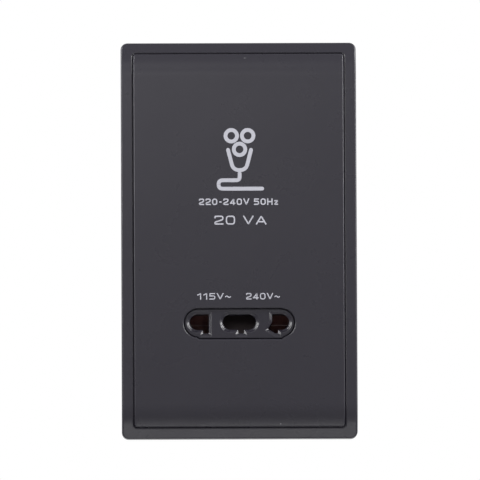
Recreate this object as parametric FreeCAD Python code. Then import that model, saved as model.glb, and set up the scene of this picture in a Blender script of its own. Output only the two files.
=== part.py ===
import FreeCAD, Part
import math
import os

from FreeCAD import Vector

# Shaver socket for a vertical two-gang wall box. A rolled wall plate carries a snap-in fascia and a
# dual-voltage socket insert; behind them sit a plug-driven shutter switch and an isolating transformer.
# Millimetres. The origin is on the wall plane at the plate's centre, X right, Z up, the face looks along -Y.

# Wall plate
PLATE_W = 86.0
PLATE_H = 145.0
PLATE_D = 9.0  # wall plane to the flat of the face
PLATE_CORNER_R = 2.5
PLATE_EDGE_R = 0.8
CROWN_L = 12.5  # length of each end over which the face rolls back
CROWN_R = 20.0
CROWN_DEG = 22.0
BORDER_SIDE = 4.3  # visible border left and right of the fascia
BORDER_END = 3.9  # visible border above and below the fascia
LIP_BEVEL = 0.4  # border's inner edge
RIM_W = 1.5  # outer rim that bears on the wall
INNER_WALL = 1.1  # wall around the fascia pocket
FRONT_WALL = 2.2  # material in front of the groove behind the border
WEB_SETBACK = 5.0  # flat of the face to the front of the web
WEB_T = 2.0

# Fixing to the wall box
FIXING_PITCH = 120.6
FIXING_HOLE_R = 2.2
FIXING_BOSS_R = 4.0
FIXING_SINK_R = 3.7
FIXING_SINK = 0.6

# Fascia
PANEL_GAP = 0.25
PANEL_PROUD = 0.2
PANEL_T = 2.0
PANEL_SKIRT_T = 1.4
PANEL_CORNER_R = 1.0
PANEL_BEVEL = 0.4
PANEL_RIB_T = 1.0
PANEL_RIB_H = 1.4
PANEL_RIBS = 3
PANEL_RIB_PITCH = 18.0
HOOK_PITCH = 48.0
HOOK_L = 8.0
HOOK_OUT = 0.9
HOOK_H = 1.2
HOOK_SETBACK = 0.6  # web to the underside of a hook
HOOK_CLEAR = 0.4

# Socket insert
SOCKET_Z = -30.0  # centre line of the apertures
INSERT_DROP = 0.4  # from there down to the middle of the capsule
INSERT_LAND_W = 0.85  # lead-in of an outer aperture to the insert's side
INSERT_LAND_H = 0.7  # lead-in to the insert's top
INSERT_RECESS = 0.9  # fascia face to insert face
CHIN_LAND = 0.85  # lead-in of the notches to the flat chin below the capsule
CHIN_HALF_W = 15.05
CHIN_ASIDE = 0.4
CHIN_FLANK_DEG = 40.0
CUT_CLEAR = 0.2  # fascia and web to insert, all round
CUT_EDGE = 0.4  # bevel of the fascia's cut-out
FLANGE_T = 1.5
FLANGE_UP = 7.1
FLANGE_DOWN = 19.9
FLANGE_CORNER_R = 2.0
APERTURE_R = 2.85
APERTURE_X = 15.25  # centre of each outer round end
LEFT_FLAT_X = 11.2
RIGHT_FLAT_X = 12.0
MID_R = 2.75
MID_HALF_L = 3.3  # centre of each round end of the middle aperture
BLADE_W = 2.05  # width of the flat-blade notches
BLADE_LOW = 4.1  # depth of the notches below the socket's centre line
MID_BLADE_X = 0.6
ANGLED_DEG = 30.0
ANGLED_X = 10.45  # outer lower corner of the angled blade slot
ANGLED_Z = 2.57
LEAD_IN = 1.15  # bevel at the mouth of each aperture

# Contact base, with its shutter channel
BASE_WALL = 2.45  # beside an outer pocket
BASE_D = 15.5
BASE_FLANGE_T = 2.5
BASE_BACK_T = 2.0
POCKET_HALF_H = 4.6
POCKET_OUT = 3.8  # pocket beyond the centre of an outer round end
POCKET_IN = 0.9  # pocket inside the flat of an outer aperture
ANGLED_POCKET_IN = 2.6
CHANNEL_HALF_W = 7.2
CHANNEL_D = 4.5
CHANNEL_FLOOR = 17.9
BASE_SCREW_IN = 3.5  # flange edge to screw centre
BASE_SCREW_ROOM = 1.25  # base to a screw's head
BASE_SCREW_DOWN = 6.4

# Plug shutter and its spring
SHUTTER_CLEAR = 0.25
SHUTTER_TOP = 3.6
SHUTTER_RAMP_LOW = 4.3
SHUTTER_BOTTOM = 6.0
SHUTTER_TRAVEL = 7.0
PEG_R = 1.1
PEG_L = 1.4
SPRING_R = 1.65
SPRING_WIRE = 0.4
SPRING_TURNS = 5

# Contact strips
STRIP_T = 0.5
CONTACT_SETBACK = 1.5  # front of the base to the mouth of an outer contact
CONTACT_MOUTH = 3.6
CONTACT_PINCH = 0.1
CONTACT_HEEL = 2.6
PINCH_SHARE = 0.75  # where an outer contact is narrowest, from its mouth to its heel
SHORT_PINCH = 0.8  # the same two for the short contact behind the shutter
SHORT_SHARE = 0.6
CONTACT_SIDE_CLEAR = 0.7
TAIL_W = 4.0
SLOT_CLEAR = 0.1

# Transformer switch
BRIDGE_T = 0.4
BRIDGE_W = 3.0
BRIDGE_LEG = 2.6
WIPE_GAP = 0.15
BLADE_TALL = 3.2
TAB_ROOM = 0.4  # screw head to the leads beside the base

# Transformer
CORE_TONGUE = 16.0
CORE_LEG = 8.0
CORE_WINDOW_W = 8.0
CORE_WINDOW_H = 24.0
CORE_STACK = 18.0
CORE_LIFT = 3.3  # top of the contact base to the core
BOBBIN_CLEAR = 0.2
BOBBIN_WALL = 1.0
BOBBIN_REACH = 6.2  # flange beyond the bobbin's tube
WINDING_T = 5.2
WINDING_CLEAR = 0.05
WINDING_CORNER_R = 2.5
TAPE_T = 0.3
TAPE_INSET = 0.6
CUTOUT_L = 18.0
CUTOUT_H = 7.0
CUTOUT_T = 3.0
CUTOUT_EDGE = 0.6

# Rear housing
HOUSING_WALL = 2.0
HOUSING_CORNER_R = 4.0
HOUSING_BEVEL = 1.5
CORE_SIDE_ROOM = 6.0
FLANGE_SIDE_ROOM = 1.0
FLANGE_END_ROOM = 0.7
COIL_FRONT_ROOM = 1.2
COIL_REAR_ROOM = 1.0
WIRE_ROOM = 8.0  # above the core
STEP_D = 17.0  # web to the back of the terminal step
STEP_MARGIN = 2.0  # step beyond the terminal block
VENTS = 6
VENT_PITCH = 5.0
VENT_W = 1.8
VENT_L = 16.0
EAR_R = 4.0
EAR_T = 3.0
EAR_IN = 8.0  # housing side to screw centre
EAR_OUT = 3.5  # housing end to screw centre
PILLAR_R = 3.6

# Screws
SCREW_R = 1.5
SCREW_CLEAR = 0.05
SCREW_HEAD_R = 2.75
SCREW_HEAD_H = 1.8
SCREW_SLOT_W = 0.8
SCREW_SLOT_D = 0.9
SCREW_PLAY = 0.15  # hole through a clamped piece
SCREW_BITE = 6.0  # core screw in its pillar
WEB_BITE = 4.0  # other screws in the web and its bosses
SCREW_TIP_ROOM = 0.4
SCREW_BOSS_R = 3.2
SCREW_BOSS_L = 2.8
CORE_HOLE_IN = 4.0  # core edge to screw centre

# Terminals
TERMINAL_PITCH = 11.0
TERMINAL_BLOCK_D = 13.0
TERMINAL_BLOCK_H = 12.0
TERMINAL_WALL = 1.5
CLAMP_W = 6.6
CLAMP_D = 7.5
CLAMP_H = 8.0
CLAMP_CLEAR = 0.1
CLAMP_BORE_R = 1.9
CLAMP_SCREW_R = 1.5
CLAMP_HEAD_R = 1.9
ACCESS_R = 2.2
TAIL_DROP = 8.0
TAIL_IN = 2.0  # step wall to the bent tail
BLOCK_PEG_W = 2.6
BLOCK_PEG_L = 1.8

# Leads
LEAD_R = 0.7
LEAD_SIDES = 8
LEAD_BEND_R = 2.4
LEAD_DROP = 4.0  # straight run below a terminal's tail
LEAD_RISE = 2.0  # above the core, where a lead turns down to the coil
LEAD_ASIDE = 4.0  # lead beside the cut-out

# Levels and places worked out from the sizes above
FACE_Y = -PLATE_D
PANEL_FACE_Y = FACE_Y - PANEL_PROUD
WEB_FRONT_Y = FACE_Y + WEB_SETBACK
WEB_BACK_Y = WEB_FRONT_Y + WEB_T
INSERT_FACE_Y = PANEL_FACE_Y + INSERT_RECESS
INSERT_W = 2 * (APERTURE_X + APERTURE_R + LEAD_IN + INSERT_LAND_W)
INSERT_H = 2 * (APERTURE_R + LEAD_IN + INSERT_LAND_H + INSERT_DROP)
INSERT_Z = SOCKET_Z - INSERT_DROP
CHIN = BLADE_LOW + LEAD_IN + CHIN_LAND - INSERT_DROP - INSERT_H / 2
BASE_Y = WEB_BACK_Y + FLANGE_T
BASE_BACK_Y = BASE_Y + BASE_D
POCKET_BACK_Y = BASE_BACK_Y - BASE_BACK_T
CHANNEL_BACK_Y = BASE_Y + CHANNEL_D

POCKET_W = PLATE_W - 2 * BORDER_SIDE
POCKET_H = PLATE_H - 2 * BORDER_END
PANEL_W = POCKET_W - 2 * PANEL_GAP
PANEL_H = POCKET_H - 2 * PANEL_GAP

CORE_W = CORE_TONGUE + 2 * (CORE_WINDOW_W + CORE_LEG)
CORE_H = CORE_WINDOW_H + 2 * CORE_LEG
TUBE_X = CORE_TONGUE / 2 + BOBBIN_CLEAR + BOBBIN_WALL
TUBE_Y = CORE_STACK / 2 + BOBBIN_CLEAR + BOBBIN_WALL
COIL_X = TUBE_X + WINDING_CLEAR + WINDING_T
COIL_Y = TUBE_Y + WINDING_CLEAR + WINDING_T
TAPE_Y = COIL_Y + WINDING_CLEAR + TAPE_T
BOBBIN_H = CORE_WINDOW_H - 2 * BOBBIN_CLEAR
CORE_Y = WEB_BACK_Y + COIL_FRONT_ROOM + CUTOUT_T + WINDING_CLEAR + TAPE_Y
CORE_FRONT_Y = CORE_Y - CORE_STACK / 2
CORE_BACK_Y = CORE_Y + CORE_STACK / 2
BASE_TOP_Z = SOCKET_Z + FLANGE_UP
CORE_BOTTOM_Z = BASE_TOP_Z + CORE_LIFT
CORE_Z = CORE_BOTTOM_Z + CORE_H / 2
CORE_TOP_Z = CORE_BOTTOM_Z + CORE_H
CORE_HOLES = [
    (side * (CORE_W / 2 - CORE_HOLE_IN), CORE_Z - side * (CORE_H / 2 - CORE_HOLE_IN)) for side in (-1, 1)
]
CHAMBER_Z = BOBBIN_H / 4  # middle of a winding chamber, from the core's centre
CUTOUT_Y = CORE_Y - TAPE_Y - WINDING_CLEAR - CUTOUT_T / 2
CUTOUT_Z = CORE_Z + CHAMBER_Z

BASE_HALF_W = APERTURE_X + POCKET_OUT + BASE_WALL
BASE_SCREW_X = BASE_HALF_W + BASE_SCREW_ROOM + SCREW_HEAD_R
FLANGE_W = 2 * (BASE_SCREW_X + BASE_SCREW_IN)
ROOM_W = max(CORE_W + 2 * CORE_SIDE_ROOM, FLANGE_W + 2 * FLANGE_SIDE_ROOM)
ROOM_BACK_Y = CORE_Y + TUBE_Y + BOBBIN_REACH + COIL_REAR_ROOM
ROOM_BOTTOM_Z = SOCKET_Z - FLANGE_DOWN - FLANGE_END_ROOM
ROOM_TOP_Z = CORE_TOP_Z + WIRE_ROOM
HOUSING_W = ROOM_W + 2 * HOUSING_WALL
HOUSING_BACK_Y = ROOM_BACK_Y + HOUSING_WALL
HOUSING_BOTTOM_Z = ROOM_BOTTOM_Z - HOUSING_WALL
HOUSING_SHOULDER_Z = ROOM_TOP_Z + HOUSING_WALL
HOUSING_TOP_Z = HOUSING_SHOULDER_Z + TERMINAL_BLOCK_H + 2 * STEP_MARGIN
STEP_BACK_Y = WEB_BACK_Y + STEP_D
EARS = [
    (side * (HOUSING_W / 2 - EAR_IN), z)
    for side in (-1, 1)
    for z in (HOUSING_BOTTOM_Z - EAR_OUT, HOUSING_TOP_Z + EAR_OUT)
]
BASE_SCREWS = [(side * BASE_SCREW_X, SOCKET_Z - BASE_SCREW_DOWN) for side in (-1, 1)]

TERMINAL_Z = HOUSING_SHOULDER_Z + STEP_MARGIN + TERMINAL_BLOCK_H / 2
TERMINAL_HALF_W = TERMINAL_PITCH + CLAMP_W / 2 + CLAMP_CLEAR + TERMINAL_WALL
CLAMP_FRONT_Y = STEP_BACK_Y + TERMINAL_WALL + CLAMP_CLEAR
CLAMP_BACK_Y = CLAMP_FRONT_Y + CLAMP_D
TAIL_Y = STEP_BACK_Y - HOUSING_WALL - TAIL_IN - STRIP_T / 2  # middle of a bent terminal tail
TAIL_END_Z = TERMINAL_Z - TAIL_DROP
TERMINAL_X = {"live": -TERMINAL_PITCH, "earth": 0.0, "neutral": TERMINAL_PITCH}

SPRING_Y = BASE_Y + CHANNEL_D / 2
FLOOR_Z = SOCKET_Z - CHANNEL_FLOOR
SPRING_TOP_Z = SOCKET_Z - SHUTTER_BOTTOM - BRIDGE_T
SHUTTER_HALF_W = CHANNEL_HALF_W - SHUTTER_CLEAR
BRIDGE_HALF_W = CHANNEL_HALF_W - 2 * WIPE_GAP - 2 * BRIDGE_T
WIPE_TOP_Z = SOCKET_Z - SHUTTER_BOTTOM - SHUTTER_TRAVEL - 2 * SHUTTER_CLEAR
LEAD_Y = (CORE_Y - TUBE_Y - BOBBIN_REACH + CORE_FRONT_Y - SCREW_HEAD_H) / 2
SWITCH_TAB_X = BASE_HALF_W + TAIL_W / 2
SWITCH_TAB_Y = BASE_Y + BASE_FLANGE_T + SCREW_HEAD_H + TAB_ROOM + LEAD_R
EPS = 1.0  # overshoot of cutting tools


def box(x0, x1, y0, y1, z0, z1):
    """A block between two corners."""
    return Part.makeBox(x1 - x0, y1 - y0, z1 - z0, Vector(x0, y0, z0))


def rod_y(x, z, radius, y0, y1):
    """A round bar along Y."""
    return Part.makeCylinder(radius, y1 - y0, Vector(x, y0, z), Vector(0, 1, 0))


def rod_z(x, y, radius, z0, z1):
    """A round bar along Z."""
    return Part.makeCylinder(radius, z1 - z0, Vector(x, y, z0), Vector(0, 0, 1))


def edges_along(shape, axis):
    """The straight edges of a shape that run along an axis."""
    found = []
    for edge in shape.Edges:
        ends = [vertex.Point for vertex in edge.Vertexes]
        if len(ends) == 2 and (ends[1] - ends[0]).cross(axis).Length < 1e-6:
            found.append(edge)
    return found


def rounded(x0, x1, z0, z1, radius, y0, y1):
    """A block along Y with its four long edges rounded."""
    block = box(x0, x1, y0, y1, z0, z1)
    return block.makeFillet(radius, edges_along(block, Vector(0, 1, 0)))


def centred(width, height, radius, y0, y1):
    """A rounded block about the plate's centre."""
    return rounded(-width / 2, width / 2, -height / 2, height / 2, radius, y0, y1)


def profile_x(points, x0, x1):
    """A closed outline of (y, z) points, extruded along X."""
    corners = [Vector(x0, y, z) for y, z in points]
    return Part.Face(Part.makePolygon(corners + corners[:1])).extrude(Vector(x1 - x0, 0, 0))


def joined(pieces):
    """Several solids fused into one, with flush faces merged."""
    return pieces[0].multiFuse(pieces[1:]).removeSplitter()


def front_edges(shape, y_limit, half_w, half_h):
    """Edges in front of a level and within an outline, apart from those that run along Y."""
    along_y = [edge.hashCode() for edge in edges_along(shape, Vector(0, 1, 0))]
    found = []
    for edge in shape.Edges:
        reach = edge.BoundBox
        inside = max(-reach.XMin, reach.XMax) < half_w and max(-reach.ZMin, reach.ZMax) < half_h
        if inside and reach.YMax < y_limit and edge.hashCode() not in along_y:
            found.append(edge)
    return found


def crown(lift):
    """The rolled face, set off by lift, as a block from the wall plane to that face."""
    radius = CROWN_R + lift
    front = FACE_Y - lift
    flat = PLATE_H / 2 - CROWN_L
    turn = math.radians(CROWN_DEG)

    def roll(share):
        return front + radius * (1 - math.cos(turn * share)), flat + radius * math.sin(turn * share)

    end_z = PLATE_H / 2 + EPS
    end_y = roll(1)[0] + (end_z - roll(1)[1]) * math.tan(turn)
    x0 = -PLATE_W / 2 - EPS

    def at(place, side):
        return Vector(x0, place[0], side * place[1])

    edges = []
    for side in (-1, 1):
        edges.append(Part.LineSegment(at((0, end_z), side), at((end_y, end_z), side)).toShape())
        edges.append(Part.LineSegment(at((end_y, end_z), side), at(roll(1), side)).toShape())
        edges.append(Part.Arc(at(roll(1), side), at(roll(0.5), side), at(roll(0), side)).toShape())
    edges.append(Part.LineSegment(at(roll(0), -1), at(roll(0), 1)).toShape())
    edges.append(Part.LineSegment(at((0, end_z), -1), at((0, end_z), 1)).toShape())
    wire = Part.Wire(Part.sortEdges(edges)[0])
    return Part.Face(wire).extrude(Vector(PLATE_W + 2 * EPS, 0, 0))


def insert_outline(offset, y0, y1):
    """The socket insert's outline, a capsule with a flat chin, set off and extruded along Y."""
    half_w = INSERT_W / 2 + offset
    half_h = INSERT_H / 2 + offset
    radius = half_h - 1e-4
    capsule = rounded(-half_w, half_w, INSERT_Z - half_h, INSERT_Z + half_h, radius, y0, y1)
    low = INSERT_H / 2 + CHIN + offset
    chin_half_w = CHIN_HALF_W + offset * math.tan(math.radians(CHIN_FLANK_DEG / 2))
    shoulder = 3 * CHIN
    spread = shoulder / math.tan(math.radians(CHIN_FLANK_DEG))
    corners = [
        Vector(CHIN_ASIDE + side * x, y0, INSERT_Z - z)
        for side, x, z in (
            (-1, chin_half_w, low),
            (1, chin_half_w, low),
            (1, chin_half_w + spread, low - shoulder),
            (-1, chin_half_w + spread, low - shoulder),
        )
    ]
    chin = Part.Face(Part.makePolygon(corners + corners[:1])).extrude(Vector(0, y1 - y0, 0))
    return joined([capsule, chin])


def outline_y(steps, y0, y1):
    """An outline of (x, z) steps about the socket's centre, extruded along Y.

    A step of two places is an arc through the first to the second.
    """
    places = [step[-1] if isinstance(step[0], tuple) else step for step in steps]
    edges = []
    for last, step in zip([places[-1]] + places[:-1], steps):
        start = Vector(last[0], y0, SOCKET_Z + last[1])
        if isinstance(step[0], tuple):
            middle, end = (Vector(x, y0, SOCKET_Z + z) for x, z in step)
            edges.append(Part.Arc(start, middle, end).toShape())
        else:
            edges.append(Part.LineSegment(start, Vector(step[0], y0, SOCKET_Z + step[1])).toShape())
    return Part.Face(Part.Wire(edges)).extrude(Vector(0, y1 - y0, 0))


def apertures(y0, y1):
    """The three pin apertures: round pins at the ends, flat blades in the notches."""
    left = outline_y(
        [
            (-LEFT_FLAT_X, APERTURE_R),
            (-APERTURE_X, APERTURE_R),
            ((-APERTURE_X - APERTURE_R, 0.0), (-APERTURE_X, -APERTURE_R)),
            (-LEFT_FLAT_X - BLADE_W, -APERTURE_R),
            (-LEFT_FLAT_X - BLADE_W, -BLADE_LOW),
            (-LEFT_FLAT_X, -BLADE_LOW),
        ],
        y0,
        y1,
    )
    notch = BLADE_W / 2
    middle = outline_y(
        [
            (-MID_HALF_L, MID_R),
            ((-MID_HALF_L - MID_R, 0.0), (-MID_HALF_L, -MID_R)),
            (MID_BLADE_X - notch, -MID_R),
            (MID_BLADE_X - notch, -BLADE_LOW),
            (MID_BLADE_X + notch, -BLADE_LOW),
            (MID_BLADE_X + notch, -MID_R),
            (MID_HALF_L, -MID_R),
            ((MID_HALF_L + MID_R, 0.0), (MID_HALF_L, MID_R)),
        ],
        y0,
        y1,
    )
    slant = math.tan(math.radians(ANGLED_DEG))
    right = outline_y(
        [
            (RIGHT_FLAT_X, APERTURE_R),
            (RIGHT_FLAT_X, -ANGLED_Z + (RIGHT_FLAT_X - ANGLED_X) / slant),
            (ANGLED_X, -ANGLED_Z),
            (ANGLED_X + (BLADE_LOW - ANGLED_Z) / slant, -BLADE_LOW),
            (RIGHT_FLAT_X + BLADE_W, -BLADE_LOW),
            (RIGHT_FLAT_X + BLADE_W, -APERTURE_R),
            (APERTURE_X, -APERTURE_R),
            ((APERTURE_X + APERTURE_R, 0.0), (APERTURE_X, APERTURE_R)),
        ],
        y0,
        y1,
    )
    return [left, middle, right]


def screw(x, z, seat_y, length, facing):
    """A slotted cheese-head screw; facing is +1 where its head looks along +Y, -1 where it looks along -Y."""
    crown_y = seat_y + facing * SCREW_HEAD_H
    head = rod_y(x, z, SCREW_HEAD_R, min(seat_y, crown_y), max(seat_y, crown_y))
    tip_y = seat_y - facing * length
    shank = rod_y(x, z, SCREW_R, min(seat_y, tip_y), max(seat_y, tip_y))
    slot_y = sorted((crown_y - facing * SCREW_SLOT_D, crown_y + facing * EPS))
    slot = box(
        x - SCREW_HEAD_R - EPS, x + SCREW_HEAD_R + EPS, slot_y[0], slot_y[1],
        z - SCREW_SLOT_W / 2, z + SCREW_SLOT_W / 2,
    )
    return joined([head.cut(slot), shank])


def lead(points):
    """An insulated wire of many-sided section through (x, y, z) points, with an arc at each corner."""
    places = [Vector(*point) for point in points]
    edges = []
    start = places[0]
    for before, corner, after in zip(places, places[1:], places[2:]):
        back = (before - corner).normalize()
        ahead = (after - corner).normalize()
        half_turn = (math.pi - back.getAngle(ahead)) / 2
        trim = LEAD_BEND_R * math.tan(half_turn)
        inward = (back + ahead).normalize()
        depth = LEAD_BEND_R / math.cos(half_turn) - LEAD_BEND_R
        entry = corner + back * trim
        leave = corner + ahead * trim
        edges.append(Part.LineSegment(start, entry).toShape())
        edges.append(Part.Arc(entry, corner + inward * depth, leave).toShape())
        start = leave
    edges.append(Part.LineSegment(start, places[-1]).toShape())
    turn = FreeCAD.Rotation(Vector(0, 0, 1), places[1] - places[0])
    corners = []
    for step in range(LEAD_SIDES):
        angle = 2 * math.pi * (step + 0.5) / LEAD_SIDES
        corners.append(places[0] + turn.multVec(Vector(math.cos(angle), math.sin(angle), 0) * LEAD_R))
    section = Part.makePolygon(corners + corners[:1])
    return Part.Wire(edges).makePipeShell([section], True, False)


def hook_places():
    """Heights of the fascia's snap hooks."""
    return [HOOK_PITCH * step for step in (-1, 0, 1)]


def make_outer_frame():
    """The wall plate: rolled border, fascia pocket, web with its window, bosses and fixing holes."""
    frame = centred(PLATE_W, PLATE_H, PLATE_CORNER_R, FACE_Y - EPS, 0).common(crown(0))
    rim = front_edges(frame, -EPS, PLATE_W, PLATE_H)
    frame = frame.makeFillet(PLATE_EDGE_R, rim)
    pocket_r = PANEL_CORNER_R + PANEL_GAP
    frame = frame.cut(centred(POCKET_W, POCKET_H, pocket_r, FACE_Y - EPS, WEB_FRONT_Y))
    lip = front_edges(frame, WEB_FRONT_Y - EPS, POCKET_W / 2 + LIP_BEVEL, POCKET_H / 2 + LIP_BEVEL)
    frame = frame.makeChamfer(LIP_BEVEL, lip)

    groove = centred(PLATE_W - 2 * RIM_W, PLATE_H - 2 * RIM_W, PLATE_CORNER_R - RIM_W / 2, FACE_Y, 0)
    groove = groove.cut(
        centred(POCKET_W + 2 * INNER_WALL, POCKET_H + 2 * INNER_WALL, pocket_r + INNER_WALL, FACE_Y, 0)
    )
    frame = frame.cut(groove.common(crown(-FRONT_WALL)))
    frame = frame.cut(centred(POCKET_W, POCKET_H, pocket_r, WEB_BACK_Y, EPS))

    bosses = []
    holes = [insert_outline(CUT_CLEAR, WEB_FRONT_Y - EPS, WEB_BACK_Y + EPS)]
    for end in (-1, 1):
        z = end * FIXING_PITCH / 2
        bosses.append(rod_y(0, z, FIXING_BOSS_R, WEB_BACK_Y, 0))
        holes.append(rod_y(0, z, FIXING_HOLE_R, WEB_FRONT_Y - EPS, EPS))
        holes.append(rod_y(0, z, FIXING_SINK_R, WEB_FRONT_Y - EPS, WEB_FRONT_Y + FIXING_SINK))
    for x, z in EARS + BASE_SCREWS:
        bosses.append(rod_y(x, z, SCREW_BOSS_R, WEB_FRONT_Y - SCREW_BOSS_L, WEB_FRONT_Y))
        tip = WEB_BACK_Y - WEB_BITE - SCREW_TIP_ROOM
        holes.append(rod_y(x, z, SCREW_R + SCREW_CLEAR, tip, WEB_BACK_Y + EPS))
    for z in hook_places():
        low = WEB_FRONT_Y - HOOK_SETBACK + HOOK_CLEAR
        for side in (-1, 1):
            x = sorted((side * POCKET_W / 2, side * (POCKET_W / 2 + INNER_WALL)))
            holes.append(
                box(
                    x[0], x[1], low - HOOK_H - 2 * HOOK_CLEAR, low,
                    z - HOOK_L / 2 - HOOK_CLEAR, z + HOOK_L / 2 + HOOK_CLEAR,
                )
            )
    return joined([frame] + bosses).cut(Part.makeCompound(holes))


def make_fascia_panel():
    """The snap-in fascia: a rolled shell with a skirt, hooks, ribs and the bevelled socket cut-out."""
    panel = centred(PANEL_W, PANEL_H, PANEL_CORNER_R, PANEL_FACE_Y - EPS, WEB_FRONT_Y)
    panel = panel.common(crown(PANEL_PROUD))
    panel = panel.makeChamfer(PANEL_BEVEL, front_edges(panel, WEB_FRONT_Y - EPS, PLATE_W, PLATE_H))
    inner_w = PANEL_W - 2 * PANEL_SKIRT_T
    inner_h = PANEL_H - 2 * PANEL_SKIRT_T
    hollow = centred(inner_w, inner_h, PANEL_CORNER_R, PANEL_FACE_Y, WEB_FRONT_Y + EPS)
    panel = panel.cut(hollow.common(crown(PANEL_PROUD - PANEL_T)))

    additions = [panel]
    back_y = PANEL_FACE_Y + PANEL_T
    for step in range(PANEL_RIBS):
        z = step * PANEL_RIB_PITCH
        additions.append(
            box(
                -inner_w / 2, inner_w / 2, back_y, back_y + PANEL_RIB_H,
                z - PANEL_RIB_T / 2, z + PANEL_RIB_T / 2,
            )
        )
    hook_y = WEB_FRONT_Y - HOOK_SETBACK
    for z in hook_places():
        for side in (-1, 1):
            root = side * (PANEL_W / 2 - PANEL_SKIRT_T / 2)
            tip = side * (PANEL_W / 2 + HOOK_OUT)
            barb = [
                Vector(root, hook_y - HOOK_H, z - HOOK_L / 2),
                Vector(tip, hook_y - HOOK_H, z - HOOK_L / 2),
                Vector(root, hook_y, z - HOOK_L / 2),
            ]
            additions.append(Part.Face(Part.makePolygon(barb + barb[:1])).extrude(Vector(0, 0, HOOK_L)))
    panel = joined(additions)
    panel = panel.cut(insert_outline(CUT_CLEAR, PANEL_FACE_Y - EPS, WEB_FRONT_Y + EPS))
    mouth = [edge for edge in panel.Edges if on_mouth(edge, PANEL_FACE_Y)]
    return panel.makeChamfer(CUT_EDGE, mouth)


def on_mouth(edge, level):
    """True for an edge around the socket that lies flat at a level."""
    reach = edge.BoundBox
    flat = abs(reach.YMin - level) < 1e-4 and abs(reach.YMax - level) < 1e-4
    near_x = max(-reach.XMin, reach.XMax) < INSERT_W / 2 + 2 * CUT_CLEAR
    near_z = max(INSERT_Z - reach.ZMin, reach.ZMax - INSERT_Z) < INSERT_H / 2 + CHIN + 2 * CUT_CLEAR
    return flat and near_x and near_z


def make_socket_insert():
    """The socket face with its three apertures, on a flange that seats behind the web."""
    boss = insert_outline(0, INSERT_FACE_Y, BASE_Y)
    flange = rounded(
        -FLANGE_W / 2, FLANGE_W / 2, SOCKET_Z - FLANGE_DOWN, BASE_TOP_Z,
        FLANGE_CORNER_R, WEB_BACK_Y, BASE_Y,
    )
    outline = [edge for edge in boss.Edges if on_mouth(edge, INSERT_FACE_Y)]
    insert = joined([boss.makeChamfer(CUT_EDGE / 2, outline), flange])
    holes = apertures(INSERT_FACE_Y - EPS, BASE_Y + EPS)
    for x, z in BASE_SCREWS:
        holes.append(rod_y(x, z, SCREW_R + SCREW_PLAY, WEB_BACK_Y - EPS, BASE_Y + EPS))
    insert = insert.cut(Part.makeCompound(holes))
    inner_x = INSERT_W / 2 - CUT_EDGE
    inner_z = INSERT_H / 2 - CUT_EDGE
    mouths = []
    for edge in insert.Edges:
        reach = edge.BoundBox
        flat = abs(reach.YMin - INSERT_FACE_Y) < 1e-4 and abs(reach.YMax - INSERT_FACE_Y) < 1e-4
        if flat and max(-reach.XMin, reach.XMax) < inner_x and abs(reach.Center.z - INSERT_Z) < inner_z:
            mouths.append(edge)
    return insert.makeChamfer(LEAD_IN, mouths)


def pocket_spans():
    """The X span of each contact pocket, left, middle and right."""
    return [
        (-APERTURE_X - POCKET_OUT, -LEFT_FLAT_X + POCKET_IN),
        (-CHANNEL_HALF_W, CHANNEL_HALF_W),
        (RIGHT_FLAT_X - ANGLED_POCKET_IN, APERTURE_X + POCKET_OUT),
    ]


def tail_places():
    """The X place of each contact's tail, in the middle of its pocket."""
    return [(x0 + x1) / 2 for x0, x1 in pocket_spans()]


def make_contact_base():
    """The moulded base: contact pockets, the shutter channel, and slots for tails and switch contacts."""
    flange = rounded(
        -FLANGE_W / 2, FLANGE_W / 2, SOCKET_Z - FLANGE_DOWN, BASE_TOP_Z,
        FLANGE_CORNER_R, BASE_Y, BASE_Y + BASE_FLANGE_T,
    )
    block = rounded(
        -BASE_HALF_W, BASE_HALF_W, SOCKET_Z - FLANGE_DOWN, BASE_TOP_Z,
        FLANGE_CORNER_R, BASE_Y, BASE_BACK_Y,
    )
    base = joined([flange, block])
    cuts = []
    for x0, x1 in pocket_spans():
        cuts.append(
            box(x0, x1, BASE_Y - EPS, POCKET_BACK_Y, SOCKET_Z - POCKET_HALF_H, SOCKET_Z + POCKET_HALF_H)
        )
    cuts.append(
        box(
            -CHANNEL_HALF_W, CHANNEL_HALF_W, BASE_Y - EPS, CHANNEL_BACK_Y,
            FLOOR_Z, SOCKET_Z + POCKET_HALF_H,
        )
    )
    slot_half = TAIL_W / 2 + SLOT_CLEAR
    heel_y = POCKET_BACK_Y - STRIP_T - SLOT_CLEAR
    for x in tail_places():
        cuts.append(
            box(
                x - slot_half, x + slot_half, heel_y - SLOT_CLEAR, POCKET_BACK_Y,
                SOCKET_Z, BASE_TOP_Z + EPS,
            )
        )
    for side in (-1, 1):
        cuts.extend(switch_blade(side, SLOT_CLEAR))
    for x, z in BASE_SCREWS:
        cuts.append(rod_y(x, z, SCREW_R + SCREW_PLAY, BASE_Y - EPS, BASE_BACK_Y))
    peg = rod_z(0, SPRING_Y, PEG_R, FLOOR_Z - EPS, FLOOR_Z + PEG_L)
    return joined([base.cut(Part.makeCompound(cuts)), peg])


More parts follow.
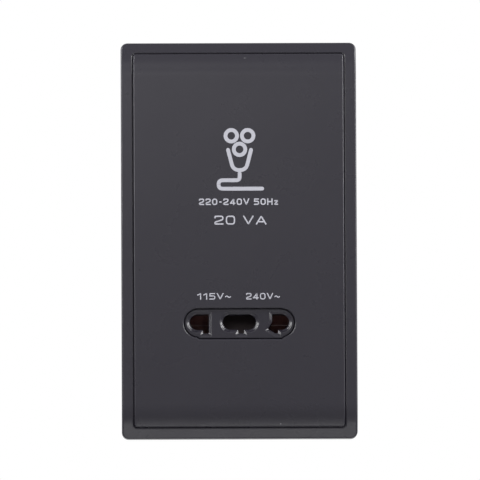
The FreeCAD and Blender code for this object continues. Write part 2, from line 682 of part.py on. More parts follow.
def make_contact(index):
    """One pin contact: a folded strip that grips a pin, with a tail that lies on top of the base."""
    x0, x1 = pocket_spans()[index]
    x0 += CONTACT_SIDE_CLEAR
    x1 -= CONTACT_SIDE_CLEAR
    behind_shutter = index == 1
    front = CHANNEL_BACK_Y + SHUTTER_CLEAR if behind_shutter else BASE_Y + CONTACT_SETBACK
    heel = POCKET_BACK_Y - SLOT_CLEAR
    pinch = front + (heel - front) * (SHORT_SHARE if behind_shutter else PINCH_SHARE)
    waist = SHORT_PINCH if behind_shutter else CONTACT_PINCH
    inside = [(front, CONTACT_MOUTH), (pinch, waist), (heel - STRIP_T, CONTACT_HEEL)]
    outside = [(y, z + STRIP_T) for y, z in inside[:2]] + [(heel, CONTACT_HEEL + STRIP_T)]
    upper = inside + outside[::-1]
    leaves = []
    for side in (1, -1):
        leaves.append(profile_x([(y, SOCKET_Z + side * z) for y, z in upper], x0, x1))
    heel_z = CONTACT_HEEL + STRIP_T
    leaves.append(box(x0, x1, heel - STRIP_T, heel, SOCKET_Z - heel_z, SOCKET_Z + heel_z))
    x = tail_places()[index]
    top = BASE_TOP_Z + STRIP_T
    riser = box(x - TAIL_W / 2, x + TAIL_W / 2, heel - STRIP_T, heel, SOCKET_Z + CONTACT_HEEL, top)
    tongue = box(x - TAIL_W / 2, x + TAIL_W / 2, LEAD_Y - TAIL_W / 2, heel, BASE_TOP_Z, top)
    return joined(leaves + [riser, tongue])


def make_plug_shutter():
    """The wedge that closes the middle aperture until a plug pushes it down."""
    front = BASE_Y + SHUTTER_CLEAR
    back = CHANNEL_BACK_Y - SHUTTER_CLEAR
    wedge = profile_x(
        [
            (front, SOCKET_Z - SHUTTER_BOTTOM),
            (back, SOCKET_Z - SHUTTER_BOTTOM),
            (back, SOCKET_Z + SHUTTER_TOP),
            (front, SOCKET_Z - SHUTTER_RAMP_LOW),
        ],
        -SHUTTER_HALF_W,
        SHUTTER_HALF_W,
    )
    peg_z = SOCKET_Z - SHUTTER_BOTTOM
    peg = rod_z(0, SPRING_Y, PEG_R, peg_z - BRIDGE_T - PEG_L, peg_z)
    return joined([wedge, peg])


def make_switch_bridge():
    """The copper bridge under the shutter, whose legs wipe the switch contacts when a plug is in."""
    top = SOCKET_Z - SHUTTER_BOTTOM
    y0 = SPRING_Y - BRIDGE_W / 2
    y1 = SPRING_Y + BRIDGE_W / 2
    strip = box(-BRIDGE_HALF_W, BRIDGE_HALF_W, y0, y1, top - BRIDGE_T, top)
    legs = []
    for side in (-1, 1):
        x = sorted((side * (BRIDGE_HALF_W - BRIDGE_T), side * BRIDGE_HALF_W))
        legs.append(box(x[0], x[1], y0, y1, top - BRIDGE_T - BRIDGE_LEG, top))
    hole = rod_z(0, SPRING_Y, PEG_R + SCREW_CLEAR, top - BRIDGE_T - EPS, top + EPS)
    return joined([strip] + legs).cut(hole)


def switch_blade(side, room):
    """The wiping plate and the flat tab of one switch contact, grown by room for the slot they sit in."""
    inner = BRIDGE_HALF_W + WIPE_GAP
    z0 = WIPE_TOP_Z - BLADE_TALL - room
    z1 = WIPE_TOP_Z + room
    tab_y0 = SWITCH_TAB_Y - BRIDGE_T / 2 - room
    tab_y1 = SWITCH_TAB_Y + BRIDGE_T / 2 + room
    x = sorted((side * (inner - room), side * (inner + BRIDGE_T + room)))
    plate = box(x[0], x[1], SPRING_Y - BRIDGE_W / 2, tab_y1, z0, z1)
    x = sorted((side * (inner - room), side * (SWITCH_TAB_X + TAIL_W / 2)))
    return [plate, box(x[0], x[1], tab_y0, tab_y1, z0, z1)]


def make_switch_contact(side):
    """One fixed switch contact: a wiping plate in the channel on a tab out of the base's flank."""
    return joined(switch_blade(side, 0))


def make_shutter_spring():
    """The shutter's return spring."""
    height = SPRING_TOP_Z - FLOOR_Z - SPRING_WIRE
    helix = Part.makeHelix(height / SPRING_TURNS, height, SPRING_R)
    half = SPRING_WIRE / 2
    corners = [
        Vector(SPRING_R + dx * half, 0, dz * half) for dx, dz in ((-1, -1), (1, -1), (1, 1), (-1, 1))
    ]
    spring = Part.Wire(helix).makePipeShell([Part.makePolygon(corners + corners[:1])], True, True)
    spring.translate(Vector(0, SPRING_Y, FLOOR_Z + half))
    return spring


def make_transformer_core():
    """The stack of E and I laminations, drilled at its corners."""
    core = box(-CORE_W / 2, CORE_W / 2, CORE_FRONT_Y, CORE_BACK_Y, CORE_BOTTOM_Z, CORE_TOP_Z)
    cuts = []
    for side in (-1, 1):
        x = sorted((side * CORE_TONGUE / 2, side * (CORE_TONGUE / 2 + CORE_WINDOW_W)))
        cuts.append(
            box(
                x[0], x[1], CORE_FRONT_Y - EPS, CORE_BACK_Y + EPS,
                CORE_Z - CORE_WINDOW_H / 2, CORE_Z + CORE_WINDOW_H / 2,
            )
        )
    for x, z in CORE_HOLES:
        cuts.append(rod_y(x, z, SCREW_R + SCREW_PLAY, CORE_FRONT_Y - EPS, CORE_BACK_Y + EPS))
    return core.cut(Part.makeCompound(cuts))


def coil_block(half_x, half_y, radius, z0, z1):
    """A block about the coil's axis, its upright edges rounded where a radius is given."""
    block = box(-half_x, half_x, CORE_Y - half_y, CORE_Y + half_y, z0, z1)
    return block.makeFillet(radius, edges_along(block, Vector(0, 0, 1))) if radius else block


def coil_ring(half_x, half_y, thickness, inner_r, outer_r, z0, z1):
    """A ring around the core's tongue; half_x and half_y are its inner half widths."""
    outer = coil_block(half_x + thickness, half_y + thickness, outer_r, z0, z1)
    return outer.cut(coil_block(half_x, half_y, inner_r, z0, z1))


def make_coil_bobbin():
    """The split bobbin: a square tube with a flange at each end and one between the windings."""
    half = BOBBIN_H / 2
    tube_x = TUBE_X - BOBBIN_WALL
    tube_y = TUBE_Y - BOBBIN_WALL
    pieces = [coil_ring(tube_x, tube_y, BOBBIN_WALL, 0, 0, CORE_Z - half, CORE_Z + half)]
    for z in (-half, -BOBBIN_WALL / 2, half - BOBBIN_WALL):
        reach = BOBBIN_WALL + BOBBIN_REACH
        pieces.append(coil_ring(tube_x, tube_y, reach, 0, 0, CORE_Z + z, CORE_Z + z + BOBBIN_WALL))
    return joined(pieces)


def chamber(side, inset):
    """Bottom and top of a winding chamber: side is +1 for the primary, -1 for the secondary."""
    ends = (BOBBIN_WALL / 2 + inset, BOBBIN_H / 2 - BOBBIN_WALL - inset)
    return sorted(CORE_Z + side * end for end in ends)


def make_winding(side):
    """One copper winding in its chamber of the bobbin."""
    z0, z1 = chamber(side, WINDING_CLEAR)
    inner_x = TUBE_X + WINDING_CLEAR
    inner_y = TUBE_Y + WINDING_CLEAR
    return coil_ring(inner_x, inner_y, WINDING_T, 0, WINDING_CORNER_R, z0, z1)


def make_winding_tape(side):
    """The band of insulating tape around a winding."""
    z0, z1 = chamber(side, TAPE_INSET)
    inner_x = COIL_X + WINDING_CLEAR
    inner_y = COIL_Y + WINDING_CLEAR
    return coil_ring(inner_x, inner_y, TAPE_T, WINDING_CORNER_R, WINDING_CORNER_R + TAPE_T, z0, z1)


def make_thermal_cutout():
    """The thermal cut-out that lies on the primary winding."""
    body = box(
        -CUTOUT_L / 2, CUTOUT_L / 2, CUTOUT_Y - CUTOUT_T / 2, CUTOUT_Y + CUTOUT_T / 2,
        CUTOUT_Z - CUTOUT_H / 2, CUTOUT_Z + CUTOUT_H / 2,
    )
    return body.makeChamfer(CUTOUT_EDGE, edges_along(body, Vector(1, 0, 0)))


def make_rear_housing():
    """The moulded rear housing: a deep box for the transformer and a shallow step for the terminals."""
    half_w = HOUSING_W / 2
    deep = rounded(
        -half_w, half_w, HOUSING_BOTTOM_Z, HOUSING_SHOULDER_Z, HOUSING_CORNER_R, WEB_BACK_Y, HOUSING_BACK_Y
    )
    step = rounded(
        -half_w, half_w, HOUSING_BOTTOM_Z, HOUSING_TOP_Z, HOUSING_CORNER_R, WEB_BACK_Y, STEP_BACK_Y
    )
    shells = []
    for shell, back in ((deep, HOUSING_BACK_Y), (step, STEP_BACK_Y)):
        rear = [edge for edge in shell.Edges if edge.BoundBox.YMin > back - 1e-4]
        shells.append(shell.makeChamfer(HOUSING_BEVEL, rear))
    housing = joined(shells)

    inner_w = ROOM_W / 2
    inner_r = HOUSING_CORNER_R - HOUSING_WALL / 2
    room = rounded(-inner_w, inner_w, ROOM_BOTTOM_Z, ROOM_TOP_Z, inner_r, WEB_BACK_Y - EPS, ROOM_BACK_Y)
    step_room = rounded(
        -inner_w, inner_w, ROOM_BOTTOM_Z, HOUSING_TOP_Z - HOUSING_WALL,
        inner_r, WEB_BACK_Y - EPS, STEP_BACK_Y - HOUSING_WALL,
    )
    housing = housing.cut(joined([room, step_room]))

    additions = [housing]
    cuts = []
    for x, z in EARS:
        ear = rod_y(x, z, EAR_R, WEB_BACK_Y, WEB_BACK_Y + EAR_T)
        root_z = sorted((z, z - math.copysign(EAR_OUT + HOUSING_WALL / 2, z)))
        additions.append(ear)
        additions.append(
            box(x - EAR_R, x + EAR_R, WEB_BACK_Y, WEB_BACK_Y + EAR_T, root_z[0], root_z[1])
        )
        cuts.append(rod_y(x, z, SCREW_R + SCREW_PLAY, WEB_BACK_Y - EPS, WEB_BACK_Y + EAR_T + EPS))
    for x, z in CORE_HOLES:
        additions.append(rod_y(x, z, PILLAR_R, CORE_BACK_Y, ROOM_BACK_Y + HOUSING_WALL / 2))
        tip = CORE_BACK_Y + SCREW_BITE + SCREW_TIP_ROOM
        cuts.append(rod_y(x, z, SCREW_R + SCREW_CLEAR, CORE_BACK_Y - EPS, tip))
    for index in range(VENTS):
        z = CORE_Z + (index - (VENTS - 1) / 2) * VENT_PITCH
        cuts.append(
            box(
                -HOUSING_W, HOUSING_W, CORE_Y - VENT_L / 2, CORE_Y + VENT_L / 2,
                z - VENT_W / 2, z + VENT_W / 2,
            )
        )
    for name in TERMINAL_X:
        cuts.append(tail_slot(name))
    cuts.extend(block_pegs(SLOT_CLEAR, HOUSING_WALL + EPS))
    return joined(additions).cut(Part.makeCompound(cuts))


def block_pegs(room, length):
    """The square pegs that place the terminal block on the step, grown by room for the holes they sit in."""
    half = BLOCK_PEG_W / 2 + room
    return [
        box(x - half, x + half, STEP_BACK_Y - length, STEP_BACK_Y, TERMINAL_Z - half, TERMINAL_Z + half)
        for x in (-TERMINAL_PITCH / 2, TERMINAL_PITCH / 2)
    ]


def tail_slot(name):
    """The slot that a terminal's tail passes through, in the housing and the terminal block."""
    x = TERMINAL_X[name]
    half = TAIL_W / 2 + SLOT_CLEAR
    return box(
        x - half, x + half, STEP_BACK_Y - HOUSING_WALL - EPS, CLAMP_FRONT_Y,
        TERMINAL_Z - STRIP_T / 2 - SLOT_CLEAR, TERMINAL_Z + STRIP_T / 2 + SLOT_CLEAR,
    )


def make_terminal_block():
    """The terminal moulding on the step: three clamp cells, open on top, with screw holes at the back."""
    half_h = TERMINAL_BLOCK_H / 2
    block = rounded(
        -TERMINAL_HALF_W, TERMINAL_HALF_W, TERMINAL_Z - half_h, TERMINAL_Z + half_h,
        TERMINAL_WALL, STEP_BACK_Y, STEP_BACK_Y + TERMINAL_BLOCK_D,
    )
    cuts = []
    for name, x in TERMINAL_X.items():
        half = CLAMP_W / 2 + CLAMP_CLEAR
        cuts.append(
            box(
                x - half, x + half, STEP_BACK_Y + TERMINAL_WALL, CLAMP_BACK_Y + CLAMP_CLEAR,
                TERMINAL_Z - CLAMP_H / 2 - CLAMP_CLEAR, TERMINAL_Z + half_h + EPS,
            )
        )
        cuts.append(rod_y(x, TERMINAL_Z, ACCESS_R, CLAMP_BACK_Y, STEP_BACK_Y + TERMINAL_BLOCK_D + EPS))
        cuts.append(tail_slot(name))
    return joined([block.cut(Part.makeCompound(cuts))] + block_pegs(0, BLOCK_PEG_L))


def make_terminal_clamp(name):
    """A brass clamp with its wire bore, screw hole and the bent tail that reaches into the housing."""
    x = TERMINAL_X[name]
    bottom = TERMINAL_Z - CLAMP_H / 2
    top = TERMINAL_Z + CLAMP_H / 2
    clamp = box(x - CLAMP_W / 2, x + CLAMP_W / 2, CLAMP_FRONT_Y, CLAMP_BACK_Y, bottom, top)
    bore_y = CLAMP_FRONT_Y + STRIP_T + CLAMP_BORE_R
    bore = rod_z(x, bore_y, CLAMP_BORE_R, bottom + STRIP_T, top + EPS)
    thread = rod_y(x, TERMINAL_Z, CLAMP_SCREW_R + SCREW_CLEAR, bore_y, CLAMP_BACK_Y + EPS)
    half = TAIL_W / 2
    tail = box(
        x - half, x + half, TAIL_Y - STRIP_T / 2, CLAMP_FRONT_Y,
        TERMINAL_Z - STRIP_T / 2, TERMINAL_Z + STRIP_T / 2,
    )
    drop = box(
        x - half, x + half, TAIL_Y - STRIP_T / 2, TAIL_Y + STRIP_T / 2, TAIL_END_Z, TERMINAL_Z + STRIP_T / 2
    )
    return joined([clamp.cut(Part.makeCompound([bore, thread])), tail, drop])


def make_terminal_screws():
    """The three clamp screws, seen through the holes in the terminal block."""
    screws = []
    tip = CLAMP_FRONT_Y + STRIP_T + 2 * CLAMP_BORE_R
    head_y = CLAMP_BACK_Y + CLAMP_CLEAR
    for x in TERMINAL_X.values():
        shank = rod_y(x, TERMINAL_Z, CLAMP_SCREW_R, tip, head_y)
        head = rod_y(x, TERMINAL_Z, CLAMP_HEAD_R, head_y, STEP_BACK_Y + TERMINAL_BLOCK_D - SCREW_TIP_ROOM)
        slot = box(
            x - CLAMP_HEAD_R - EPS, x + CLAMP_HEAD_R + EPS,
            STEP_BACK_Y + TERMINAL_BLOCK_D - SCREW_TIP_ROOM - SCREW_SLOT_D,
            STEP_BACK_Y + TERMINAL_BLOCK_D,
            TERMINAL_Z - SCREW_SLOT_W / 2, TERMINAL_Z + SCREW_SLOT_W / 2,
        )
        screws.append(joined([shank, head.cut(slot)]))
    return Part.makeCompound(screws)


def make_screws(places, seat_y, length, facing):
    """A group of like screws."""
    return Part.makeCompound([screw(x, z, seat_y, length, facing) for x, z in places])


def make_leads():
    """The insulated leads, each from one piece's terminal to the next."""
    coil_bottom = CORE_Z - BOBBIN_H / 2
    coil_top = CORE_Z + BOBBIN_H / 2
    tongue_top = BASE_TOP_Z + STRIP_T
    leads = {}
    for name, x in zip(("115v", "common", "240v"), tail_places()):
        leads["lead_" + name] = lead([(x, LEAD_Y, coil_bottom), (x, LEAD_Y, tongue_top)])

    neutral = TERMINAL_X["neutral"]
    live = TERMINAL_X["live"]
    leads["lead_earth"] = lead([(0, TAIL_Y, TAIL_END_Z), (0, TAIL_Y, CORE_TOP_Z)])
    leads["lead_neutral"] = lead(
        [
            (neutral, TAIL_Y, TAIL_END_Z),
            (neutral, TAIL_Y, TAIL_END_Z - LEAD_DROP),
            (neutral, LEAD_Y, CORE_TOP_Z + LEAD_RISE),
            (neutral, LEAD_Y, coil_top),
        ]
    )
    beside = -CUTOUT_L / 2 - LEAD_ASIDE
    leads["lead_live"] = lead(
        [
            (live, TAIL_Y, TAIL_END_Z),
            (live, TAIL_Y, TAIL_END_Z - LEAD_DROP),
            (beside, CUTOUT_Y, CORE_TOP_Z),
            (beside, CUTOUT_Y, CUTOUT_Z),
            (-CUTOUT_L / 2, CUTOUT_Y, CUTOUT_Z),
        ]
    )
    leads["lead_cutout"] = lead(
        [
            (CUTOUT_L / 2, CUTOUT_Y, CUTOUT_Z),
            (-beside, CUTOUT_Y, CUTOUT_Z),
            (SWITCH_TAB_X, SWITCH_TAB_Y, CUTOUT_Z),
            (SWITCH_TAB_X, SWITCH_TAB_Y, WIPE_TOP_Z),
        ]
    )
    over = coil_top + 2 * LEAD_BEND_R
    leads["lead_switched"] = lead(
        [
            (-SWITCH_TAB_X, SWITCH_TAB_Y, WIPE_TOP_Z),
            (-SWITCH_TAB_X, SWITCH_TAB_Y, over),
            (-TERMINAL_PITCH / 2, SWITCH_TAB_Y, over),
            (-TERMINAL_PITCH / 2, SWITCH_TAB_Y, coil_top),
        ]
    )
    return leads


def build_nodes():
    """Every piece of the socket by name."""
    nodes = {
        "outer_frame": make_outer_frame(),
        "fascia_panel": make_fascia_panel(),
        "socket_insert": make_socket_insert(),
        "contact_base": make_contact_base(),
        "contact_115v": make_contact(0),
        "contact_common": make_contact(1),
        "contact_240v": make_contact(2),
        "plug_shutter": make_plug_shutter(),
        "switch_bridge": make_switch_bridge(),
        "switch_contact_line": make_switch_contact(1),
        "switch_contact_load": make_switch_contact(-1),
        "shutter_spring": make_shutter_spring(),
        "transformer_core": make_transformer_core(),
        "coil_bobbin": make_coil_bobbin(),
        "primary_winding": make_winding(1),
        "secondary_winding": make_winding(-1),
        "primary_tape": make_winding_tape(1),
        "secondary_tape": make_winding_tape(-1),
        "thermal_cutout": make_thermal_cutout(),
        "rear_housing": make_rear_housing(),
        "terminal_block": make_terminal_block(),
        "terminal_screws": make_terminal_screws(),
        "base_screws": make_screws(
            BASE_SCREWS, BASE_Y + BASE_FLANGE_T, BASE_FLANGE_T + FLANGE_T + WEB_BITE, 1
        ),
        "housing_screws": make_screws(EARS, WEB_BACK_Y + EAR_T, EAR_T + WEB_BITE, 1),
        "core_screws": make_screws(CORE_HOLES, CORE_FRONT_Y, CORE_STACK + SCREW_BITE, -1),
    }
    for name in TERMINAL_X:
        nodes["terminal_clamp_" + name] = make_terminal_clamp(name)
    nodes.update(make_leads())
    return nodes


os.makedirs("parts", exist_ok=True)
for node_name, shape in build_nodes().items():
    shape.exportStep("parts/" + node_name + ".step")
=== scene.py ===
"""Looks of a flush shaver socket for a two-gang wall box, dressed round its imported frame."""

import logging
import math
from collections.abc import Callable, Sequence
from dataclasses import dataclass
from enum import Enum

import bmesh
import bpy
from mathutils import Matrix, Quaternion, Vector


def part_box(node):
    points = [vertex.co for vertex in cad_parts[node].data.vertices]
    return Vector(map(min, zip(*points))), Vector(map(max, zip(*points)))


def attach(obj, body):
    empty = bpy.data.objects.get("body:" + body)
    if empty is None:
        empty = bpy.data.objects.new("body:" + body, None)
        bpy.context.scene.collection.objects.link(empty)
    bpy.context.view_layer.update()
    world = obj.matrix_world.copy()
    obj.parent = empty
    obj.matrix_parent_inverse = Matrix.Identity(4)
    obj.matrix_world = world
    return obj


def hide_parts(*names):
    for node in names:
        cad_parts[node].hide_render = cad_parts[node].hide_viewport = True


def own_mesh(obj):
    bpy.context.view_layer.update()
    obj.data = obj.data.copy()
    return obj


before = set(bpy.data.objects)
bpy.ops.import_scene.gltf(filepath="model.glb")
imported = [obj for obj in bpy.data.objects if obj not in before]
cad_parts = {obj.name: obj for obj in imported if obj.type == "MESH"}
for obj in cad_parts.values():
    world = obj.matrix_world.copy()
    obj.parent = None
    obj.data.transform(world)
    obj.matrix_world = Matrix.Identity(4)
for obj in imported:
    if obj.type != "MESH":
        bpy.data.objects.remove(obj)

LOG = logging.getLogger("shaver_socket")
MM = 0.001
MERGE = 0.002 * MM  # doubled points of a solid's mesh lie closer than this
NEAR = 0.02 * MM  # points closer than this to a size have it
FLAT_DEG = 0.3  # faces that turn less than this are one
SHARP_DEG = 26.0  # edges that turn more than this are rounded
WHITE = (1.0, 1.0, 1.0, 1.0)
UPRIGHT = Matrix.Rotation(math.radians(90.0), 4, "X")  # stands up what was drawn flat, facing the front
Colour = tuple[float, float, float]
Point = tuple[float, float, float]
Place = tuple[float, float]


class Body(Enum):
    """The bodies that pieces ride on."""

    SOCKET = "socket"
    SHUTTER = "shutter"


class Effect(Enum):
    """Surface effects that several finishes share."""

    GRAIN = "mould_grain"
    DRIFT = "tone_drift"
    SMUDGE = "handling_smudge"
    BRUSHED = "drawn_strip"
    BANDS = "stacked_bands"


class Axis(Enum):
    """Outputs of a Separate XYZ node."""

    X = "X"
    Y = "Y"
    Z = "Z"


class NodeSheet:
    """Places and links the nodes of one tree."""

    def __init__(self, tree: bpy.types.NodeTree) -> None:
        """Start on a tree.

        Args:
            tree: the node tree to fill.
        """
        self.tree = tree

    def add(self, kind: str, **values: object) -> bpy.types.Node:
        """Place a node.

        Args:
            kind: the node's type name.
            values: attributes of the node, or values of its inputs where no attribute has the name.

        Returns:
            The node.
        """
        node = self.tree.nodes.new(kind)
        for name, value in values.items():
            if hasattr(node, name):
                setattr(node, name, value)
            else:
                node.inputs[name.replace("_", " ")].default_value = value
        return node

    def link(self, source: bpy.types.NodeSocket, target: bpy.types.NodeSocket) -> None:
        """Join an output to an input."""
        self.tree.links.new(source, target)

    def sum(self, operation: str, first: object, second: object) -> bpy.types.NodeSocket:
        """Place a Math node.

        Args:
            operation: the node's operation.
            first: a socket or a number.
            second: a socket or a number.

        Returns:
            The node's output.
        """
        node = self.tree.nodes.new("ShaderNodeMath")
        node.operation = operation
        for socket, value in zip(node.inputs, (first, second)):
            if isinstance(value, bpy.types.NodeSocket):
                self.link(value, socket)
            else:
                socket.default_value = value
        return node.outputs[0]

    def swing(self, noise: bpy.types.Node, amount: bpy.types.NodeSocket) -> bpy.types.NodeSocket:
        """Make a noise swing about nought.

        Args:
            noise: the noise texture.
            amount: how far it swings in all.

        Returns:
            The swing.
        """
        return self.sum("MULTIPLY", self.sum("SUBTRACT", noise.outputs["Fac"], 0.5), amount)

    def ramp(self, value: bpy.types.NodeSocket, low: float, high: float) -> bpy.types.NodeSocket:
        """Spread a stretch of a value over nought to one.

        Args:
            value: the value.
            low: what becomes nought.
            high: what becomes one.

        Returns:
            The spread value.
        """
        node = self.add("ShaderNodeMapRange", interpolation_type="SMOOTHSTEP", From_Min=low, From_Max=high)
        self.link(value, node.inputs["Value"])
        return node.outputs[0]


class EffectLibrary:
    """Builds each shared effect once, as a shader node group."""

    PIT_SCALE = 0.6  # the grain's pits are this much sparser than its noise
    PIT_SHARE = 0.5  # and this high beside it

    def __init__(self) -> None:
        """Start with no group built."""
        self.groups: dict[Effect, bpy.types.NodeTree] = {}
        self.builders = {
            Effect.GRAIN: self.build_grain,
            Effect.DRIFT: self.build_drift,
            Effect.SMUDGE: self.build_smudge,
            Effect.BRUSHED: self.build_brushed,
            Effect.BANDS: self.build_bands,
        }

    def place(self, sheet: NodeSheet, effect: Effect, **values: object) -> bpy.types.Node:
        """Place an effect in a material.

        Args:
            sheet: the material's nodes.
            effect: which effect.
            values: values of the group's inputs.

        Returns:
            The group node.
        """
        if effect not in self.groups:
            tree = bpy.data.node_groups.new(effect.value, "ShaderNodeTree")
            self.builders[effect](tree)
            self.groups[effect] = tree
        node = sheet.add("ShaderNodeGroup", node_tree=self.groups[effect])
        for name, value in values.items():
            node.inputs[name].default_value = value
        return node

    @staticmethod
    def ends(
        tree: bpy.types.NodeTree, inputs: dict[str, str], outputs: dict[str, str]
    ) -> tuple[bpy.types.Node, bpy.types.Node]:
        """Give a group its sockets.

        Args:
            tree: the group.
            inputs: input names with their kinds.
            outputs: output names with their kinds.

        Returns:
            The group's input and output nodes.
        """
        for direction, sockets in (("INPUT", inputs), ("OUTPUT", outputs)):
            for name, kind in sockets.items():
                tree.interface.new_socket(name, in_out=direction, socket_type="NodeSocket" + kind)
        return tree.nodes.new("NodeGroupInput"), tree.nodes.new("NodeGroupOutput")

    def build_grain(self, tree: bpy.types.NodeTree) -> None:
        """Fine spark-eroded mould grain: a height that the mould leaves all over."""
        source, result = self.ends(tree, {"Vector": "Vector", "Scale": "Float"}, {"Height": "Float"})
        sheet = NodeSheet(tree)
        noise = sheet.add("ShaderNodeTexNoise", Detail=2.0, Roughness=0.6)
        cells = sheet.add("ShaderNodeTexVoronoi")
        for node in (noise, cells):
            sheet.link(source.outputs["Vector"], node.inputs["Vector"])
        sheet.link(source.outputs["Scale"], noise.inputs["Scale"])
        sheet.link(sheet.sum("MULTIPLY", source.outputs["Scale"], self.PIT_SCALE), cells.inputs["Scale"])
        pits = sheet.sum("MULTIPLY", cells.outputs["Distance"], self.PIT_SHARE)
        sheet.link(sheet.sum("ADD", noise.outputs["Fac"], pits), result.inputs["Height"])

    def build_drift(self, tree: bpy.types.NodeTree) -> None:
        """Slow drift of a colour's tone over a moulding."""
        source, result = self.ends(
            tree,
            {"Vector": "Vector", "Color": "Color", "Amount": "Float", "Scale": "Float"},
            {"Color": "Color"},
        )
        sheet = NodeSheet(tree)
        noise = sheet.add("ShaderNodeTexNoise", Detail=3.0, Roughness=0.55)
        sheet.link(source.outputs["Vector"], noise.inputs["Vector"])
        sheet.link(source.outputs["Scale"], noise.inputs["Scale"])
        scaled = sheet.add("ShaderNodeVectorMath", operation="SCALE")
        sheet.link(source.outputs["Color"], scaled.inputs[0])
        tone = sheet.sum("ADD", sheet.swing(noise, source.outputs["Amount"]), 1.0)
        sheet.link(tone, scaled.inputs["Scale"])
        sheet.link(scaled.outputs[0], result.inputs["Color"])

    def build_smudge(self, tree: bpy.types.NodeTree) -> None:
        """Roughness that varies softly where a surface has been handled."""
        source, result = self.ends(
            tree, {"Vector": "Vector", "Roughness": "Float", "Spread": "Float"}, {"Roughness": "Float"}
        )
        sheet = NodeSheet(tree)
        noise = sheet.add("ShaderNodeTexNoise", Scale=60.0, Detail=5.0, Roughness=0.6, Distortion=0.5)
        sheet.link(source.outputs["Vector"], noise.inputs["Vector"])
        varied = sheet.sum("ADD", sheet.swing(noise, source.outputs["Spread"]), source.outputs["Roughness"])
        sheet.link(varied, result.inputs["Roughness"])

    def build_brushed(self, tree: bpy.types.NodeTree) -> None:
        """Fine lines along a drawn or rolled strip, and the tarnish between them."""
        source, result = self.ends(
            tree, {"Vector": "Vector", "Stretch": "Vector"}, {"Lines": "Float", "Tarnish": "Float"}
        )
        sheet = NodeSheet(tree)
        stretched = sheet.add("ShaderNodeVectorMath", operation="MULTIPLY")
        sheet.link(source.outputs["Vector"], stretched.inputs[0])
        sheet.link(source.outputs["Stretch"], stretched.inputs[1])
        lines = sheet.add("ShaderNodeTexNoise", Scale=1.0, Detail=3.0)
        sheet.link(stretched.outputs[0], lines.inputs["Vector"])
        blots = sheet.add("ShaderNodeTexNoise", Scale=420.0, Detail=4.0, Roughness=0.65)
        sheet.link(source.outputs["Vector"], blots.inputs["Vector"])
        sheet.link(lines.outputs["Fac"], result.inputs["Lines"])
        sheet.link(blots.outputs["Fac"], result.inputs["Tarnish"])

    def build_bands(self, tree: bpy.types.NodeTree) -> None:
        """Rounded bands stacked along one coordinate, each with a shade of its own."""
        source, result = self.ends(
            tree, {"Along": "Float", "Pitch": "Float"}, {"Height": "Float", "Shade": "Float"}
        )
        sheet = NodeSheet(tree)
        turns = sheet.sum("DIVIDE", source.outputs["Along"], source.outputs["Pitch"])
        wave = sheet.sum("SINE", sheet.sum("MULTIPLY", turns, math.pi), 0.0)
        sheet.link(sheet.sum("ABSOLUTE", wave, 0.0), result.inputs["Height"])
        shade = sheet.add("ShaderNodeTexWhiteNoise", noise_dimensions="1D")
        sheet.link(sheet.sum("FLOOR", turns, 0.0), shade.inputs["W"])
        sheet.link(shade.outputs["Value"], result.inputs["Shade"])


EFFECTS = EffectLibrary()


class Surface:
    """A material with a Principled shader and the piece's own coordinates."""

    MIX_COLOURS = (6, 7)  # the Mix node's colour inputs
    MIX_RESULT = 2  # and its colour output

    def __init__(self, name: str) -> None:
        """Make the material.

        Args:
            name: the material's name.
        """
        self.material = bpy.data.materials.new(name)
        self.material.use_nodes = True
        self.sheet = NodeSheet(self.material.node_tree)
        self.shader = self.material.node_tree.nodes["Principled BSDF"]
        self.place = self.sheet.add("ShaderNodeTexCoord").outputs["Object"]

    def set(self, **values: object) -> None:
        """Set constants on the shader's own sockets."""
        for name, value in values.items():
            self.shader.inputs[name.replace("_", " ")].default_value = value

    def effect(self, effect: Effect, **values: object) -> bpy.types.Node:
        """Place a shared effect on the piece's coordinates.

        Args:
            effect: which effect.
            values: values of its inputs.

        Returns:
            The group node.
        """
        node = EFFECTS.place(self.sheet, effect, **values)
        if "Vector" in node.inputs:
            self.sheet.link(self.place, node.inputs["Vector"])
        return node

    def feed(self, source: bpy.types.NodeSocket, socket: str) -> None:
        """Link an output to one of the shader's sockets."""
        self.sheet.link(source, self.shader.inputs[socket])

    def smudge(self, roughness: float, spread: float) -> None:
        """Give the surface a roughness that varies where it has been handled.

        Args:
            roughness: its middle value.
            spread: how far it varies in all.
        """
        node = self.effect(Effect.SMUDGE, Roughness=roughness, Spread=spread)
        self.feed(node.outputs["Roughness"], "Roughness")

    def bump(self, height: bpy.types.NodeSocket, depth: float) -> None:
        """Raise the surface by a height.

        Args:
            height: the height output.
            depth: metres of relief at a height of one.
        """
        node = self.sheet.add("ShaderNodeBump", Strength=1.0, Distance=depth)
        self.sheet.link(height, node.inputs["Height"])
        self.feed(node.outputs["Normal"], "Normal")

    def along(self, axis: Axis) -> bpy.types.NodeSocket:
        """One coordinate of the piece.

        Args:
            axis: which coordinate.

        Returns:
            Its output.
        """
        split = self.sheet.add("ShaderNodeSeparateXYZ")
        self.sheet.link(self.place, split.inputs[0])
        return split.outputs[axis.value]

    def mix(self, share: bpy.types.NodeSocket, first: object, second: object) -> bpy.types.NodeSocket:
        """Mix two colours.

        Args:
            share: how much of the second shows.
            first: a colour or a colour output.
            second: a colour or a colour output.

        Returns:
            The mixed colour.
        """
        node = self.sheet.add("ShaderNodeMix", data_type="RGBA")
        self.sheet.link(share, node.inputs["Factor"])
        for index, value in zip(self.MIX_COLOURS, (first, second)):
            if isinstance(value, bpy.types.NodeSocket):
                self.sheet.link(value, node.inputs[index])
            else:
                node.inputs[index].default_value = (*value, 1.0)
        return node.outputs[self.MIX_RESULT]


@dataclass(frozen=True)
class Scuff:
    """A small mark on a face, as an ellipse in X and Z."""

    x: float
    z: float
    half_w: float
    half_h: float
    tone: Colour
    core: float = 0.3  # share of its area that shows in full


